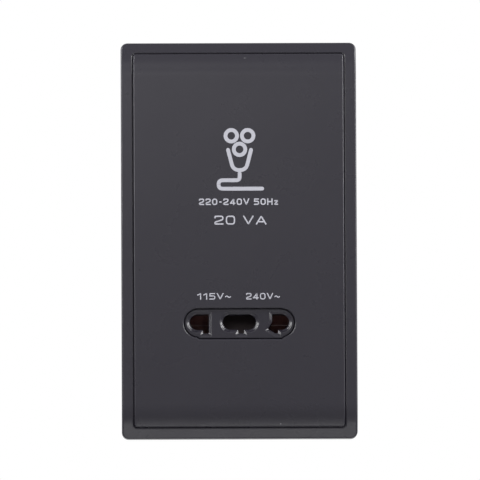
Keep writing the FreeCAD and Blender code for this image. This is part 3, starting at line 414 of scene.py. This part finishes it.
@dataclass(frozen=True)
class MouldedPlastic:
    """A moulded plastic with mould grain, a slow drift of tone and soft handling marks."""

    name: str
    colour: Colour
    roughness: float
    specular: float = 0.5
    grain: float = 3200.0  # grains per metre
    relief: float = 0.000012
    drift: float = 0.12
    drift_scale: float = 45.0
    smudge: float = 0.08
    scuffs: tuple[Scuff, ...] = ()

    def material(self) -> bpy.types.Material:
        """Build the finish.

        Returns:
            The material.
        """
        surface = Surface(self.name)
        surface.set(Specular_IOR_Level=self.specular)
        tone = surface.effect(
            Effect.DRIFT, Color=(*self.colour, 1.0), Amount=self.drift, Scale=self.drift_scale
        )
        colour = tone.outputs["Color"]
        for scuff in self.scuffs:
            colour = surface.mix(self.mark(surface, scuff), colour, scuff.tone)
        surface.feed(colour, "Base Color")
        surface.smudge(self.roughness, self.smudge)
        grain = surface.effect(Effect.GRAIN, Scale=self.grain)
        surface.bump(grain.outputs["Height"], self.relief)
        return surface.material

    @staticmethod
    def mark(surface: Surface, scuff: Scuff) -> bpy.types.NodeSocket:
        """Where a scuff shows.

        Args:
            surface: the material being built.
            scuff: the mark.

        Returns:
            A mask that is one on the mark.
        """
        sheet = surface.sheet
        across = sheet.sum("DIVIDE", sheet.sum("SUBTRACT", surface.along(Axis.X), scuff.x), scuff.half_w)
        up = sheet.sum("DIVIDE", sheet.sum("SUBTRACT", surface.along(Axis.Z), scuff.z), scuff.half_h)
        reach = sheet.sum("ADD", sheet.sum("POWER", across, 2.0), sheet.sum("POWER", up, 2.0))
        return sheet.ramp(reach, 1.0, scuff.core)


@dataclass(frozen=True)
class StripMetal:
    """A rolled, drawn or plated metal with fine lines and a little tarnish."""

    name: str
    colour: Colour
    tarnish: Colour
    roughness: float
    stretch: Point = (300.0, 9000.0, 9000.0)  # lines per metre along X, Y and Z
    dulled: Place = (0.45, 0.75)  # where the tarnish starts and where it is full
    smudge: float = 0.15
    relief: float = 0.000004

    def material(self) -> bpy.types.Material:
        """Build the finish.

        Returns:
            The material.
        """
        surface = Surface(self.name)
        surface.set(Metallic=1.0)
        lines = surface.effect(Effect.BRUSHED, Stretch=self.stretch)
        dulled = surface.sheet.ramp(lines.outputs["Tarnish"], *self.dulled)
        surface.feed(surface.mix(dulled, self.colour, self.tarnish), "Base Color")
        surface.smudge(self.roughness, self.smudge)
        surface.bump(lines.outputs["Lines"], self.relief)
        return surface.material


@dataclass(frozen=True)
class BandedMetal:
    """Metal in many thin bands: stacked sheets, or the turns of a winding."""

    name: str
    light: Colour
    dark: Colour
    axis: Axis
    pitch: float
    roughness: float
    metallic: float
    coat: float
    relief: float
    coat_roughness: float = 0.2
    smudge: float = 0.2

    def material(self) -> bpy.types.Material:
        """Build the finish.

        Returns:
            The material.
        """
        surface = Surface(self.name)
        surface.set(Metallic=self.metallic, Coat_Weight=self.coat, Coat_Roughness=self.coat_roughness)
        bands = surface.effect(Effect.BANDS, Pitch=self.pitch)
        surface.sheet.link(surface.along(self.axis), bands.inputs["Along"])
        surface.feed(surface.mix(bands.outputs["Shade"], self.light, self.dark), "Base Color")
        surface.smudge(self.roughness, self.smudge)
        surface.bump(bands.outputs["Height"], self.relief)
        return surface.material


@dataclass(frozen=True)
class FilmTape:
    """Glossy wrapped film tape, a little uneven."""

    name: str
    colour: Colour
    roughness: float = 0.28
    coat: float = 0.5
    coat_roughness: float = 0.1
    drift: float = 0.5
    drift_scale: float = 160.0
    smudge: float = 0.12
    wrinkles: float = 260.0  # wrinkles per metre
    relief: float = 0.00006

    def material(self) -> bpy.types.Material:
        """Build the finish.

        Returns:
            The material.
        """
        surface = Surface(self.name)
        surface.set(Coat_Weight=self.coat, Coat_Roughness=self.coat_roughness)
        tone = surface.effect(
            Effect.DRIFT, Color=(*self.colour, 1.0), Amount=self.drift, Scale=self.drift_scale
        )
        surface.feed(tone.outputs["Color"], "Base Color")
        surface.smudge(self.roughness, self.smudge)
        wrinkles = surface.effect(Effect.GRAIN, Scale=self.wrinkles)
        surface.bump(wrinkles.outputs["Height"], self.relief)
        return surface.material


FACE_SCUFFS = (
    Scuff(2.4 * MM, 66.7 * MM, 0.55 * MM, 0.12 * MM, (0.12, 0.12, 0.125)),
    Scuff(14.2 * MM, -67.35 * MM, 0.3 * MM, 0.2 * MM, (0.008, 0.008, 0.009)),
    Scuff(14.9 * MM, -67.3 * MM, 0.16 * MM, 0.16 * MM, (0.4, 0.4, 0.42)),
)
FINISHES = {
    "face_plastic": MouldedPlastic(
        "satin_face_plastic", (0.0177, 0.0166, 0.0221), 0.28, specular=0.2, scuffs=FACE_SCUFFS
    ),
    "insert_plastic": MouldedPlastic("satin_insert_plastic", (0.0137, 0.0126, 0.018), 0.17, specular=0.24),
    "base_plastic": MouldedPlastic("black_base_plastic", (0.014, 0.014, 0.015), 0.45),
    "shutter_plastic": MouldedPlastic("black_shutter_plastic", (0.046, 0.036, 0.037), 0.5, specular=0.3),
    "contact_bronze": StripMetal("copper_contact_strip", (0.46, 0.355, 0.345), (0.32, 0.24, 0.24), 0.34),
    "spring_steel": StripMetal("spring_wire", (0.6, 0.6, 0.6), (0.4, 0.38, 0.35), 0.25),
    "lamination_steel": BandedMetal(
        "stacked_core_sheets", (0.24, 0.24, 0.25), (0.13, 0.13, 0.145), Axis.Y, 0.5 * MM, 0.42, 0.85, 0.25,
        0.00008,
    ),
    "bobbin_plastic": MouldedPlastic("natural_nylon", (0.66, 0.63, 0.53), 0.4),
    "winding_copper": BandedMetal(
        "enamelled_copper_turns", (0.5, 0.19, 0.07), (0.36, 0.12, 0.045), Axis.Z, 0.42 * MM, 0.3, 0.9, 0.6,
        0.00018,
    ),
    "winding_tape": FilmTape("yellow_film_tape", (0.72, 0.52, 0.08)),
    "cutout_plastic": MouldedPlastic("black_cutout_case", (0.03, 0.03, 0.034), 0.38),
    "housing_plastic": MouldedPlastic(
        "charcoal_housing_plastic", (0.034, 0.034, 0.038), 0.48, grain=2200.0, relief=0.00002, drift=0.18
    ),
    "terminal_plastic": MouldedPlastic("light_grey_terminal_plastic", (0.5, 0.5, 0.48), 0.42, grain=2600.0),
    "terminal_brass": StripMetal("machined_brass", (0.74, 0.53, 0.22), (0.5, 0.33, 0.13), 0.24),
    "screw_steel": StripMetal("zinc_plated_steel", (0.64, 0.65, 0.66), (0.48, 0.46, 0.42), 0.28),
    "brown_sleeve": MouldedPlastic("brown_wire_sleeve", (0.14, 0.055, 0.028), 0.36, grain=1800.0),
    "blue_sleeve": MouldedPlastic("blue_wire_sleeve", (0.03, 0.11, 0.4), 0.36, grain=1800.0),
    "green_sleeve": MouldedPlastic("green_wire_sleeve", (0.1, 0.36, 0.07), 0.36, grain=1800.0),
    "red_sleeve": MouldedPlastic("red_wire_sleeve", (0.5, 0.035, 0.025), 0.36, grain=1800.0),
    "white_sleeve": MouldedPlastic("white_wire_sleeve", (0.74, 0.74, 0.71), 0.36, grain=1800.0),
    "black_sleeve": MouldedPlastic("black_wire_sleeve", (0.016, 0.016, 0.017), 0.36, grain=1800.0),
    "legend_ink": MouldedPlastic(
        "light_grey_ink", (0.325, 0.325, 0.365), 0.5, grain=5200.0, relief=0.000006, drift=0.16
    ),
}


class Paintbox:
    """Builds each finish when it is first used."""

    def __init__(self) -> None:
        """Start with nothing mixed."""
        self.mixed: dict[str, bpy.types.Material] = {}

    def finish(self, name: str) -> bpy.types.Material:
        """The material of one of the record's slots, or of the ink.

        Args:
            name: the finish.

        Returns:
            The material.
        """
        if name not in self.mixed:
            self.mixed[name] = FINISHES[name].material()
        return self.mixed[name]


PAINTS = Paintbox()


def slot_of(node: str) -> str:
    """The record's material slot of a node.

    Args:
        node: the node's name.

    Returns:
        The slot's name.
    """
    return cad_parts[node].data.materials[0].name.split(".")[0]


def add_piece(name: str, mesh: bpy.types.Mesh, material: bpy.types.Material) -> bpy.types.Object:
    """Put a mesh in the scene as a piece.

    Args:
        name: the piece's name.
        mesh: its mesh, in place.
        material: its finish.

    Returns:
        The piece.
    """
    mesh.materials.clear()
    mesh.materials.append(material)
    piece = bpy.data.objects.new(name, mesh)
    bpy.context.scene.collection.objects.link(piece)
    return piece


def settle(piece: bpy.types.Object, body: Body, slot: str, *nodes: str) -> bpy.types.Object:
    """Make a piece ride on a body and stand for its nodes.

    Args:
        piece: the piece.
        body: the body that it moves with.
        slot: the record's material slot; not used.
        nodes: the nodes that it stands for.

    Returns:
        The piece.
    """
    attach(piece, body.value)
    if nodes:
        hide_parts(*nodes)
    LOG.info("%s rides on %s", piece.name, body.value)
    return piece


@dataclass(frozen=True)
class Softening:
    """How the edges of a solid's copy are rounded, and which of them are then shaded smooth."""

    edge: float = 0.12 * MM
    segments: int = 2
    smooth_deg: float = 38.0


def round_edges(
    shape: bmesh.types.BMesh, edges: list[bmesh.types.BMEdge], offset: float, segments: int
) -> None:
    """Round some edges of a mesh.

    Args:
        shape: the mesh.
        edges: the edges.
        offset: how far the rounding reaches.
        segments: the faces that it is made of.
    """
    bmesh.ops.bevel(
        shape, geom=edges, offset=offset, offset_type="OFFSET", segments=segments, profile=0.5,
        affect="EDGES", clamp_overlap=False, material=-1, loop_slide=True,
    )


def softened(
    node: str, name: str, softening: Softening, trim: Callable[[bmesh.types.BMesh], None] | None = None
) -> bpy.types.Object:
    """A copy of a solid with its points merged and its sharp edges rounded.

    Args:
        node: the solid's node.
        name: the piece's name.
        softening: how far the edges are rounded.
        trim: what is changed before the edges are rounded.

    Returns:
        The piece, which stands for the node.
    """
    shape = bmesh.new()
    shape.from_mesh(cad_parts[node].data)
    bmesh.ops.remove_doubles(shape, verts=shape.verts, dist=MERGE)
    bmesh.ops.dissolve_limit(
        shape, angle_limit=math.radians(FLAT_DEG), use_dissolve_boundaries=False, verts=shape.verts,
        edges=shape.edges,
    )
    if trim:
        trim(shape)
    if softening.edge > 0:
        limit = math.radians(SHARP_DEG)
        sharp = [e for e in shape.edges if len(e.link_faces) == 2 and e.calc_face_angle(0.0) > limit]
        round_edges(shape, sharp, softening.edge, softening.segments)
    mesh = bpy.data.meshes.new(name)
    shape.to_mesh(mesh)
    shape.free()
    mesh.shade_smooth()
    mesh.set_sharp_from_angle(angle=math.radians(softening.smooth_deg))
    slot = slot_of(node)
    piece = add_piece(name, mesh, PAINTS.finish(slot))
    weighted = piece.modifiers.new("face_weighted_normals", "WEIGHTED_NORMAL")
    weighted.keep_sharp = True
    return settle(piece, Body.SOCKET, slot, node)


def keep(node: str) -> None:
    """Give a node that is shown as it is its finish."""
    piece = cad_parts[node]
    piece.material_slots[0].material = PAINTS.finish(slot_of(node))
    LOG.info("%s keeps its own mesh", node)


@dataclass
class WallPlate:
    """The rolled border and the fascia."""

    border: Softening = Softening(edge=0.12 * MM, segments=3)
    fascia: Softening = Softening(edge=0.14 * MM, segments=3)
    border_side: float = 4.3 * MM  # from the plate's edge to the wall of the pocket, left and right
    border_end: float = 3.9 * MM  # and above and below
    pocket_corner: float = 1.25 * MM
    draw_in: float = 0.17 * MM  # how far the pocket's wall comes in, for a fine line round the fascia

    def build(self) -> None:
        """Build both mouldings."""
        softened("outer_frame", "plate_border", self.border, self.narrow_gap)
        softened("fascia_panel", "fascia_moulding", self.fascia)

    def narrow_gap(self, shape: bmesh.types.BMesh) -> None:
        """Bring the wall of the pocket a little closer to the fascia.

        Args:
            shape: the plate's border.
        """
        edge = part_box("outer_frame")[1]
        half_w, half_h = edge.x - self.border_side, edge.z - self.border_end
        wall = []
        for point in shape.verts:
            inner, outer = sorted((abs(point.co.x) - half_w, abs(point.co.z) - half_h))
            if abs(outer) < NEAR or -self.pocket_corner < inner <= outer < NEAR:
                wall.append(point)
        shares = (1.0 - self.draw_in / half_w, 1.0, 1.0 - self.draw_in / half_h)
        bmesh.ops.scale(shape, vec=shares, verts=wall)


@dataclass(frozen=True)
class Glyph:
    """A plain character: strokes in a unit square, its width over its height and its corners' radius."""

    width: float
    strokes: tuple[tuple[Place, ...], ...]
    corner: float = 0.1
    closed: bool = False


WAVE_STEPS = 12
WAVE_MIDDLE = 0.42
WAVE_SWING = 0.13
WAVE = tuple(
    (step / WAVE_STEPS, WAVE_MIDDLE + WAVE_SWING * math.sin(2 * math.pi * step / WAVE_STEPS))
    for step in range(WAVE_STEPS + 1)
)
ALPHABET = {
    "0": Glyph(0.82, (((0, 0), (1, 0), (1, 1), (0, 1)),), 0.3, True),
    "1": Glyph(0.62, (((0, 0.76), (0.8, 1), (0.8, 0)),)),
    "2": Glyph(0.8, (((0, 0.83), (0, 1), (1, 1), (1, 0.56), (0, 0.24), (0, 0), (1, 0)),), 0.18),
    "4": Glyph(0.84, (((0.76, 0), (0.76, 1), (0, 0.22)), ((0.1, 0.22), (1, 0.22)))),
    "5": Glyph(
        0.8, (((0.94, 1), (0.04, 1)), ((0.04, 1), (0, 0.57)), ((0, 0.57), (1, 0.57), (1, 0), (0, 0))), 0.24
    ),
    "-": Glyph(0.5, (((0.2, 0.45), (0.8, 0.45)),)),
    "V": Glyph(0.92, (((0, 1), (0.5, 0), (1, 1)),)),
    "A": Glyph(0.92, (((0, 0), (0.5, 1), (1, 0)), ((0.3, 0.28), (0.7, 0.28)))),
    "H": Glyph(0.84, (((0, 0), (0, 1)), ((1, 0), (1, 1)), ((0.2, 0.5), (0.8, 0.5)))),
    "z": Glyph(0.68, (((0.1, 0.66), (1, 0.66), (0, 0), (0.9, 0)),)),
    "~": Glyph(0.8, (WAVE,)),
    " ": Glyph(0.3, ()),
}


@dataclass
class Pen:
    """Lays flat strokes of ink of one width into a mesh on the XY plane."""

    width: float
    sheet: bmesh.types.BMesh
    bend_steps: int = 6
    cap_steps: int = 10
    layer: float = 0.002 * MM  # each stroke lies this far over the one before
    level: float = 0.0

    def bend(self, points: list[Vector], radius: float, closed: bool) -> list[Vector]:
        """Round the corners of a line.

        Args:
            points: the line's corners.
            radius: how far the rounding reaches.
            closed: whether the line comes back to its start.

        Returns:
            The rounded line.
        """
        line = []
        count = len(points)
        for index, corner in enumerate(points):
            if not radius or not closed and index in (0, count - 1):
                line.append(corner)
                continue
            before = points[index - 1] - corner
            after = points[(index + 1) % count] - corner
            reach = min(radius, before.length / 2, after.length / 2)
            start = corner + before.normalized() * reach
            end = corner + after.normalized() * reach
            for step in range(self.bend_steps + 1):
                share = step / self.bend_steps
                line.append(start.lerp(corner, share).lerp(corner.lerp(end, share), share))
        return line

    def draw(
        self, points: Sequence[Place], radius: float, closed: bool = False, round_ends: bool = False
    ) -> None:
        """Lay one stroke.

        Args:
            points: the corners of its middle line.
            radius: how far its corners are rounded.
            closed: whether it comes back to its start.
            round_ends: whether its ends are round; flat ends reach half a width further.
        """
        corners = [Vector(point) for point in points]
        half = self.width / 2
        if not closed and not round_ends:
            corners[0] = corners[0] + (corners[0] - corners[1]).normalized() * half
            corners[-1] = corners[-1] + (corners[-1] - corners[-2]).normalized() * half
        line = self.bend(corners, radius, closed)
        last = len(line) - 1
        pairs = []
        for index, point in enumerate(line):
            before = line[index - 1] if index or closed else point
            after = line[(index + 1) % len(line)] if index < last or closed else point
            along = (after - before).normalized() * half
            aside = Vector((-along.y, along.x))
            pairs.append((self.dot(point + aside), self.dot(point - aside)))
            if round_ends and not closed and index in (0, last):
                self.cap(point, -aside if index else aside, pairs[-1] if not index else pairs[-1][::-1])
        joints = list(zip(pairs, pairs[1:])) + ([(pairs[-1], pairs[0])] if closed else [])
        for (left, right), (next_left, next_right) in joints:
            self.sheet.faces.new((left, right, next_right, next_left))
        self.level += self.layer

    def dot(self, point: Vector) -> bmesh.types.BMVert:
        """A point of the mesh."""
        return self.sheet.verts.new((point.x, point.y, self.level))

    def cap(
        self, point: Vector, aside: Vector, ends: tuple[bmesh.types.BMVert, bmesh.types.BMVert]
    ) -> None:
        """Close an end with a half disc.

        Args:
            point: the end of the middle line.
            aside: from there to the first of the ends.
            ends: the stroke's two corners at that end.
        """
        rim = [ends[0]]
        for step in range(1, self.cap_steps):
            turned = aside.copy()
            turned.rotate(Matrix.Rotation(math.pi * step / self.cap_steps, 2))
            rim.append(self.dot(point + turned))
        self.sheet.faces.new(rim + [ends[1]])


@dataclass(frozen=True)
class Legend:
    """One line of plain lettering: its words, centre, width and the height of its capitals."""

    name: str
    words: str
    x: float
    z: float
    width: float
    height: float
    weight: float = 0.19  # stroke over height


@dataclass
class Print:
    """The printed legends: a pictogram of an electric shaver, plain ratings and the two voltages."""

    lift: float = 0.012 * MM
    stroke: float = 1.4 * MM
    icon_at: Place = (0.3 * MM, 29.5 * MM)
    heads: tuple[Place, ...] = ((-3.0 * MM, 8.6 * MM), (3.0 * MM, 8.6 * MM), (0.0, 3.6 * MM))
    head_r: float = 2.1 * MM
    head_steps: int = 32
    handle: tuple[Place, ...] = (
        (-4.2 * MM, 3.4 * MM), (-2.3 * MM, -4.0 * MM), (2.3 * MM, -4.0 * MM), (4.2 * MM, 3.4 * MM)
    )
    handle_bend: float = 2.2 * MM
    cord: tuple[Place, ...] = (
        (0.0, -5.2 * MM), (0.0, -7.7 * MM), (-7.7 * MM, -7.7 * MM), (-7.7 * MM, -10.8 * MM),
        (8.2 * MM, -10.8 * MM),
    )
    cord_bend: float = 2.0 * MM
    letter_gap: float = 0.2  # between letters, in the unit of their widths
    legends: tuple[Legend, ...] = (
        Legend("supply_rating", "220-240V 50Hz", -0.1 * MM, 13.92 * MM, 29.0 * MM, 2.4 * MM),
        Legend("power_rating", "20 VA", 0.5 * MM, 7.19 * MM, 19.0 * MM, 3.3 * MM, 0.15),
        Legend("low_voltage_mark", "115V~", -9.21 * MM, -20.68 * MM, 12.28 * MM, 2.38 * MM, 0.16),
        Legend("high_voltage_mark", "240V~", 8.63 * MM, -20.7 * MM, 12.33 * MM, 2.38 * MM, 0.16),
    )

    def build(self) -> None:
        """Print every legend on the fascia."""
        for legend in self.legends:
            self.letter(legend)
        self.draw_shaver()

    def lay(self, name: str, sheet: bmesh.types.BMesh, x: float, z: float) -> None:
        """Stand a flat drawing up on the fascia as a piece.

        Args:
            name: the piece's name.
            sheet: the drawing, about its own centre.
            x: its place across.
            z: its height.
        """
        mesh = bpy.data.meshes.new(name)
        sheet.to_mesh(mesh)
        sheet.free()
        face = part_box("fascia_panel")[0].y - self.lift
        mesh.transform(Matrix.Translation((x, face, z)) @ UPRIGHT)
        settle(add_piece(name, mesh, PAINTS.finish("legend_ink")), Body.SOCKET, "face_plastic")

    def letter(self, legend: Legend) -> None:
        """Print one line of lettering.

        Args:
            legend: what it says and where.
        """
        sheet = bmesh.new()
        height = legend.height
        pen = Pen(legend.weight * height, sheet)
        half = pen.width / 2
        glyphs = [ALPHABET[letter] for letter in legend.words]
        natural = sum(glyph.width for glyph in glyphs) + self.letter_gap * (len(glyphs) - 1)
        unit = legend.width / natural
        left = -legend.width / 2
        for glyph in glyphs:
            room = glyph.width * unit - pen.width
            rise = height - pen.width
            for stroke in glyph.strokes:
                points = [(left + half + u * room, (v - 0.5) * rise) for u, v in stroke]
                pen.draw(points, glyph.corner * height, glyph.closed)
            left += (glyph.width + self.letter_gap) * unit
        self.lay(legend.name, sheet, legend.x, legend.z)

    def draw_shaver(self) -> None:
        """Draw the pictogram: a three-headed electric shaver on its cord, in outline."""
        sheet = bmesh.new()
        pen = Pen(self.stroke, sheet)
        turn = [2 * math.pi * step / self.head_steps for step in range(self.head_steps)]
        for x, z in self.heads:
            ring = [(x + self.head_r * math.cos(t), z + self.head_r * math.sin(t)) for t in turn]
            pen.draw(ring, 0.0, closed=True)
        pen.draw(self.handle, self.handle_bend, round_ends=True)
        pen.draw(self.cord, self.cord_bend, round_ends=True)
        self.lay("shaver_pictogram", sheet, *self.icon_at)


@dataclass
class SocketWorks:
    """The socket face and what shows in its apertures: contacts, shutter, switch and spring."""

    face: Softening = Softening(edge=0.13 * MM, segments=3)
    lead_in: float = 1.15 * MM
    mouth_rise: float = 0.24 * MM  # how much shallower the mouths' bevels are than wide
    mitre: float = 0.32 * MM  # rounding where two bevels of a mouth meet
    mitre_segments: int = 4
    wire_r: float = 0.2 * MM  # of the spring
    wire_sides: int = 12
    steps_per_turn: int = 28
    turns: int = 5
    kept: tuple[str, ...] = (
        "contact_base", "contact_115v", "contact_common", "contact_240v", "plug_shutter", "switch_bridge",
        "switch_contact_line", "switch_contact_load",
    )

    def build(self) -> None:
        """Build the socket face and the spring, and dress the rest."""
        softened("socket_insert", "socket_face", self.face, self.shape_mouths)
        for node in self.kept:
            keep(node)
        self.build_spring()

    def shape_mouths(self, shape: bmesh.types.BMesh) -> None:
        """Make the bevels at the aperture mouths a little shallower than wide, and round where they meet.

        Args:
            shape: the socket face.
        """
        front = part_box("socket_insert")[0].y
        for point in shape.verts:
            if abs(point.co.y - front - self.lead_in) < NEAR:
                point.co.y -= self.mouth_rise
        depth = self.lead_in - self.mouth_rise
        limit = math.radians(SHARP_DEG)
        mitres = []
        for edge in shape.edges:
            high, low = sorted(point.co.y - front for point in edge.verts)
            if high < NEAR and abs(low - depth) < NEAR and edge.calc_face_angle(0.0) > limit:
                mitres.append(edge)
        round_edges(shape, mitres, self.mitre, self.mitre_segments)

    def build_spring(self) -> None:
        """Wind the shutter's return spring as a fixed coil."""
        low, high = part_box("shutter_spring")
        radius = (high.x - low.x) / 2 - self.wire_r
        centre = (low + high) / 2
        height = high.z - low.z - 2 * self.wire_r
        steps = self.turns * self.steps_per_turn
        coil = bmesh.new()
        ring = bmesh.ops.create_circle(coil, cap_ends=True, radius=self.wire_r, segments=self.wire_sides)
        start = Matrix.Translation((centre.x + radius, centre.y, low.z + self.wire_r))
        bmesh.ops.transform(coil, matrix=start @ UPRIGHT, verts=ring["verts"])
        bmesh.ops.spin(
            coil, geom=coil.faces[:] + coil.edges[:] + coil.verts[:], cent=(centre.x, centre.y, low.z),
            axis=(0.0, 0.0, 1.0), dvec=(0.0, 0.0, height / steps), angle=2 * math.pi * self.turns,
            steps=steps, use_merge=False, use_duplicate=False,
        )
        bmesh.ops.recalc_face_normals(coil, faces=coil.faces)
        mesh = bpy.data.meshes.new("return_spring")
        coil.to_mesh(mesh)
        coil.free()
        mesh.shade_smooth()
        slot = slot_of("shutter_spring")
        piece = add_piece("return_spring", mesh, PAINTS.finish(slot))
        settle(piece, Body.SOCKET, slot, "shutter_spring")
        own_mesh(piece)


@dataclass
class RearWorks:
    """The rear housing, the terminals and the screws."""

    housing: Softening = Softening(edge=0.35 * MM, segments=3)
    block: Softening = Softening(edge=0.2 * MM, segments=2)
    metal: Softening = Softening(edge=0.12 * MM, segments=2)

    def build(self) -> None:
        """Build the mouldings and the metal that shows behind the plate."""
        softened("rear_housing", "housing_moulding", self.housing)
        softened("terminal_block", "terminal_moulding", self.block)
        for name in ("live", "earth", "neutral"):
            softened("terminal_clamp_" + name, "brass_clamp_" + name, self.metal)
        for node in ("terminal_screws", "housing_screws", "base_screws", "core_screws"):
            softened(node, node.replace("_screws", "_screw_set"), self.metal)


@dataclass
class Transformer:
    """The isolating transformer, its cut-out and the leads."""

    kept: tuple[str, ...] = (
        "transformer_core", "coil_bobbin", "primary_winding", "secondary_winding", "primary_tape",
        "secondary_tape", "thermal_cutout",
    )
    sleeve: Softening = Softening(edge=0.0, smooth_deg=60.0)

    def build(self) -> None:
        """Dress the transformer and smooth the leads."""
        for node in self.kept:
            keep(node)
        for node in sorted(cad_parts):
            if node.startswith("lead_"):
                softened(node, "wire_" + node[len("lead_"):], self.sleeve)


@dataclass(frozen=True)
class Softbox:
    """A rectangular studio light."""

    name: str
    place: Point
    aim: Point
    width: float
    height: float
    power: float

    def build(self) -> None:
        """Hang the light, out of the camera's sight."""
        lamp = bpy.data.lights.new(self.name, "AREA")
        lamp.shape = "RECTANGLE"
        lamp.size = self.width
        lamp.size_y = self.height
        lamp.energy = self.power
        holder = bpy.data.objects.new(self.name, lamp)
        holder.location = self.place
        holder.rotation_mode = "QUATERNION"
        holder.rotation_quaternion = (Vector(self.aim) - Vector(self.place)).to_track_quat("-Z", "Y")
        holder.visible_camera = False
        bpy.context.scene.collection.objects.link(holder)


@dataclass
class Studio:
    """The camera, the lights, the pale floor and the white surround."""

    aim: Point = (0.33 * MM, -9.0 * MM, -0.09 * MM)
    distance: float = 4.0
    elevation_deg: float = -4.53
    azimuth_deg: float = -0.84
    roll_deg: float = -0.256
    lens_mm: float = 822.0
    sensor_mm: float = 36.0
    sight: float = 20.0  # how far the camera sees
    floor_z: float = -0.32
    floor_r: float = 1.3
    floor_sides: int = 96
    floor_fade: Place = (0.35, 0.95)  # shares of its radius where the floor starts to melt and where it has
    floor_tone: Colour = (0.78, 0.78, 0.78)
    ambient: float = 0.45
    lights: tuple[Softbox, ...] = (
        Softbox("front_softbox", (-0.1, -0.5, 0.14), (0.0, 0.0, 0.03), 0.3, 0.12, 0.33),
        Softbox("high_softbox", (-0.1, -0.5, 0.34), (0.0, 0.0, 0.03), 0.3, 0.12, 0.24),
        Softbox("left_softbox", (-0.31, -0.08, 0.16), (0.0, 0.0, -0.03), 0.1, 0.32, 1.8),
        Softbox("right_softbox", (0.31, -0.08, 0.16), (0.0, 0.0, -0.03), 0.1, 0.32, 2.5),
        Softbox("left_wing", (-0.38, -0.2, 0.06), (0.0, 0.0, 0.02), 0.1, 0.2, 0.4),
        Softbox("right_wing", (0.36, -0.1, 0.0), (0.0, 0.0, -0.03), 0.1, 0.15, 0.2),
        Softbox("low_softbox", (0.0, -0.27, -0.31), (0.0, 0.0, -0.07), 0.4, 0.06, 0.47),
    )

    def build(self) -> None:
        """Set up the studio."""
        self.set_camera()
        self.set_surround()
        self.lay_floor()
        for light in self.lights:
            light.build()
        bpy.context.scene.view_settings.view_transform = "Standard"

    def set_camera(self) -> None:
        """Place the camera where the object is seen straight on, from a little below."""
        lens = bpy.data.cameras.new("viewpoint")
        lens.lens = self.lens_mm
        lens.sensor_width = self.sensor_mm
        lens.clip_end = self.sight
        camera = bpy.data.objects.new("viewpoint", lens)
        lift = math.radians(self.elevation_deg)
        swing = math.radians(self.azimuth_deg)
        back = Vector((math.sin(swing) * math.cos(lift), -math.cos(swing) * math.cos(lift), math.sin(lift)))
        camera.location = Vector(self.aim) + back * self.distance
        roll = Quaternion((0.0, 0.0, 1.0), math.radians(self.roll_deg))
        camera.rotation_mode = "QUATERNION"
        camera.rotation_quaternion = (-back).to_track_quat("-Z", "Y") @ roll
        bpy.context.scene.collection.objects.link(camera)
        bpy.context.scene.camera = camera

    @staticmethod
    def seen_directly(sheet: NodeSheet) -> bpy.types.NodeSocket:
        """One on camera, glossy and transmission rays.

        Args:
            sheet: the nodes to place it in.

        Returns:
            The mask.
        """
        path = sheet.add("ShaderNodeLightPath")
        mask = sheet.sum("MAXIMUM", path.outputs["Is Camera Ray"], path.outputs["Is Glossy Ray"])
        return sheet.sum("MAXIMUM", mask, path.outputs["Is Transmission Ray"])

    def set_surround(self) -> None:
        """White where it is seen, and softer as ambient light."""
        world = bpy.data.worlds.new("white_surround")
        world.use_nodes = True
        bpy.context.scene.world = world
        sheet = NodeSheet(world.node_tree)
        background = world.node_tree.nodes["Background"]
        background.inputs["Color"].default_value = WHITE
        seen = sheet.sum("MULTIPLY", self.seen_directly(sheet), 1.0 - self.ambient)
        sheet.link(sheet.sum("ADD", seen, self.ambient), background.inputs["Strength"])

    def lay_floor(self) -> None:
        """A pale disc below the object that melts into the surround at its rim."""
        disc = bmesh.new()
        level = Matrix.Translation((0.0, 0.0, self.floor_z))
        bmesh.ops.create_circle(
            disc, cap_ends=True, radius=self.floor_r, segments=self.floor_sides, matrix=level
        )
        mesh = bpy.data.meshes.new("pale_floor")
        disc.to_mesh(mesh)
        disc.free()
        add_piece("pale_floor", mesh, self.floor_material())

    def floor_material(self) -> bpy.types.Material:
        """Build the floor's finish: matt in the middle and as white as the surround at the rim.

        Returns:
            The material.
        """
        material = bpy.data.materials.new("pale_floor")
        material.use_nodes = True
        tree = material.node_tree
        tree.nodes.clear()
        sheet = NodeSheet(tree)
        matt = sheet.add("ShaderNodeBsdfDiffuse", Color=(*self.floor_tone, 1.0))
        glow = sheet.add("ShaderNodeEmission", Color=WHITE, Strength=1.0)
        place = sheet.add("ShaderNodeTexCoord")
        length = sheet.add("ShaderNodeVectorMath", operation="LENGTH")
        sheet.link(place.outputs["Object"], length.inputs[0])
        fade = sheet.ramp(length.outputs["Value"], *(share * self.floor_r for share in self.floor_fade))
        white = sheet.sum("MULTIPLY", fade, self.seen_directly(sheet))
        blend = sheet.add("ShaderNodeMixShader")
        sheet.link(white, blend.inputs[0])
        sheet.link(matt.outputs[0], blend.inputs[1])
        sheet.link(glow.outputs[0], blend.inputs[2])
        output = sheet.add("ShaderNodeOutputMaterial")
        sheet.link(blend.outputs[0], output.inputs["Surface"])
        return material


def main() -> None:
    """Build the studio and every sub-assembly in order."""
    logging.basicConfig(level=logging.INFO, format="%(name)s: %(message)s")
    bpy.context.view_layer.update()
    for assembly in (Studio(), WallPlate(), Print(), SocketWorks(), RearWorks(), Transformer()):
        assembly.build()
        LOG.info("%s built", type(assembly).__name__)


if __name__ == "__main__":
    main()
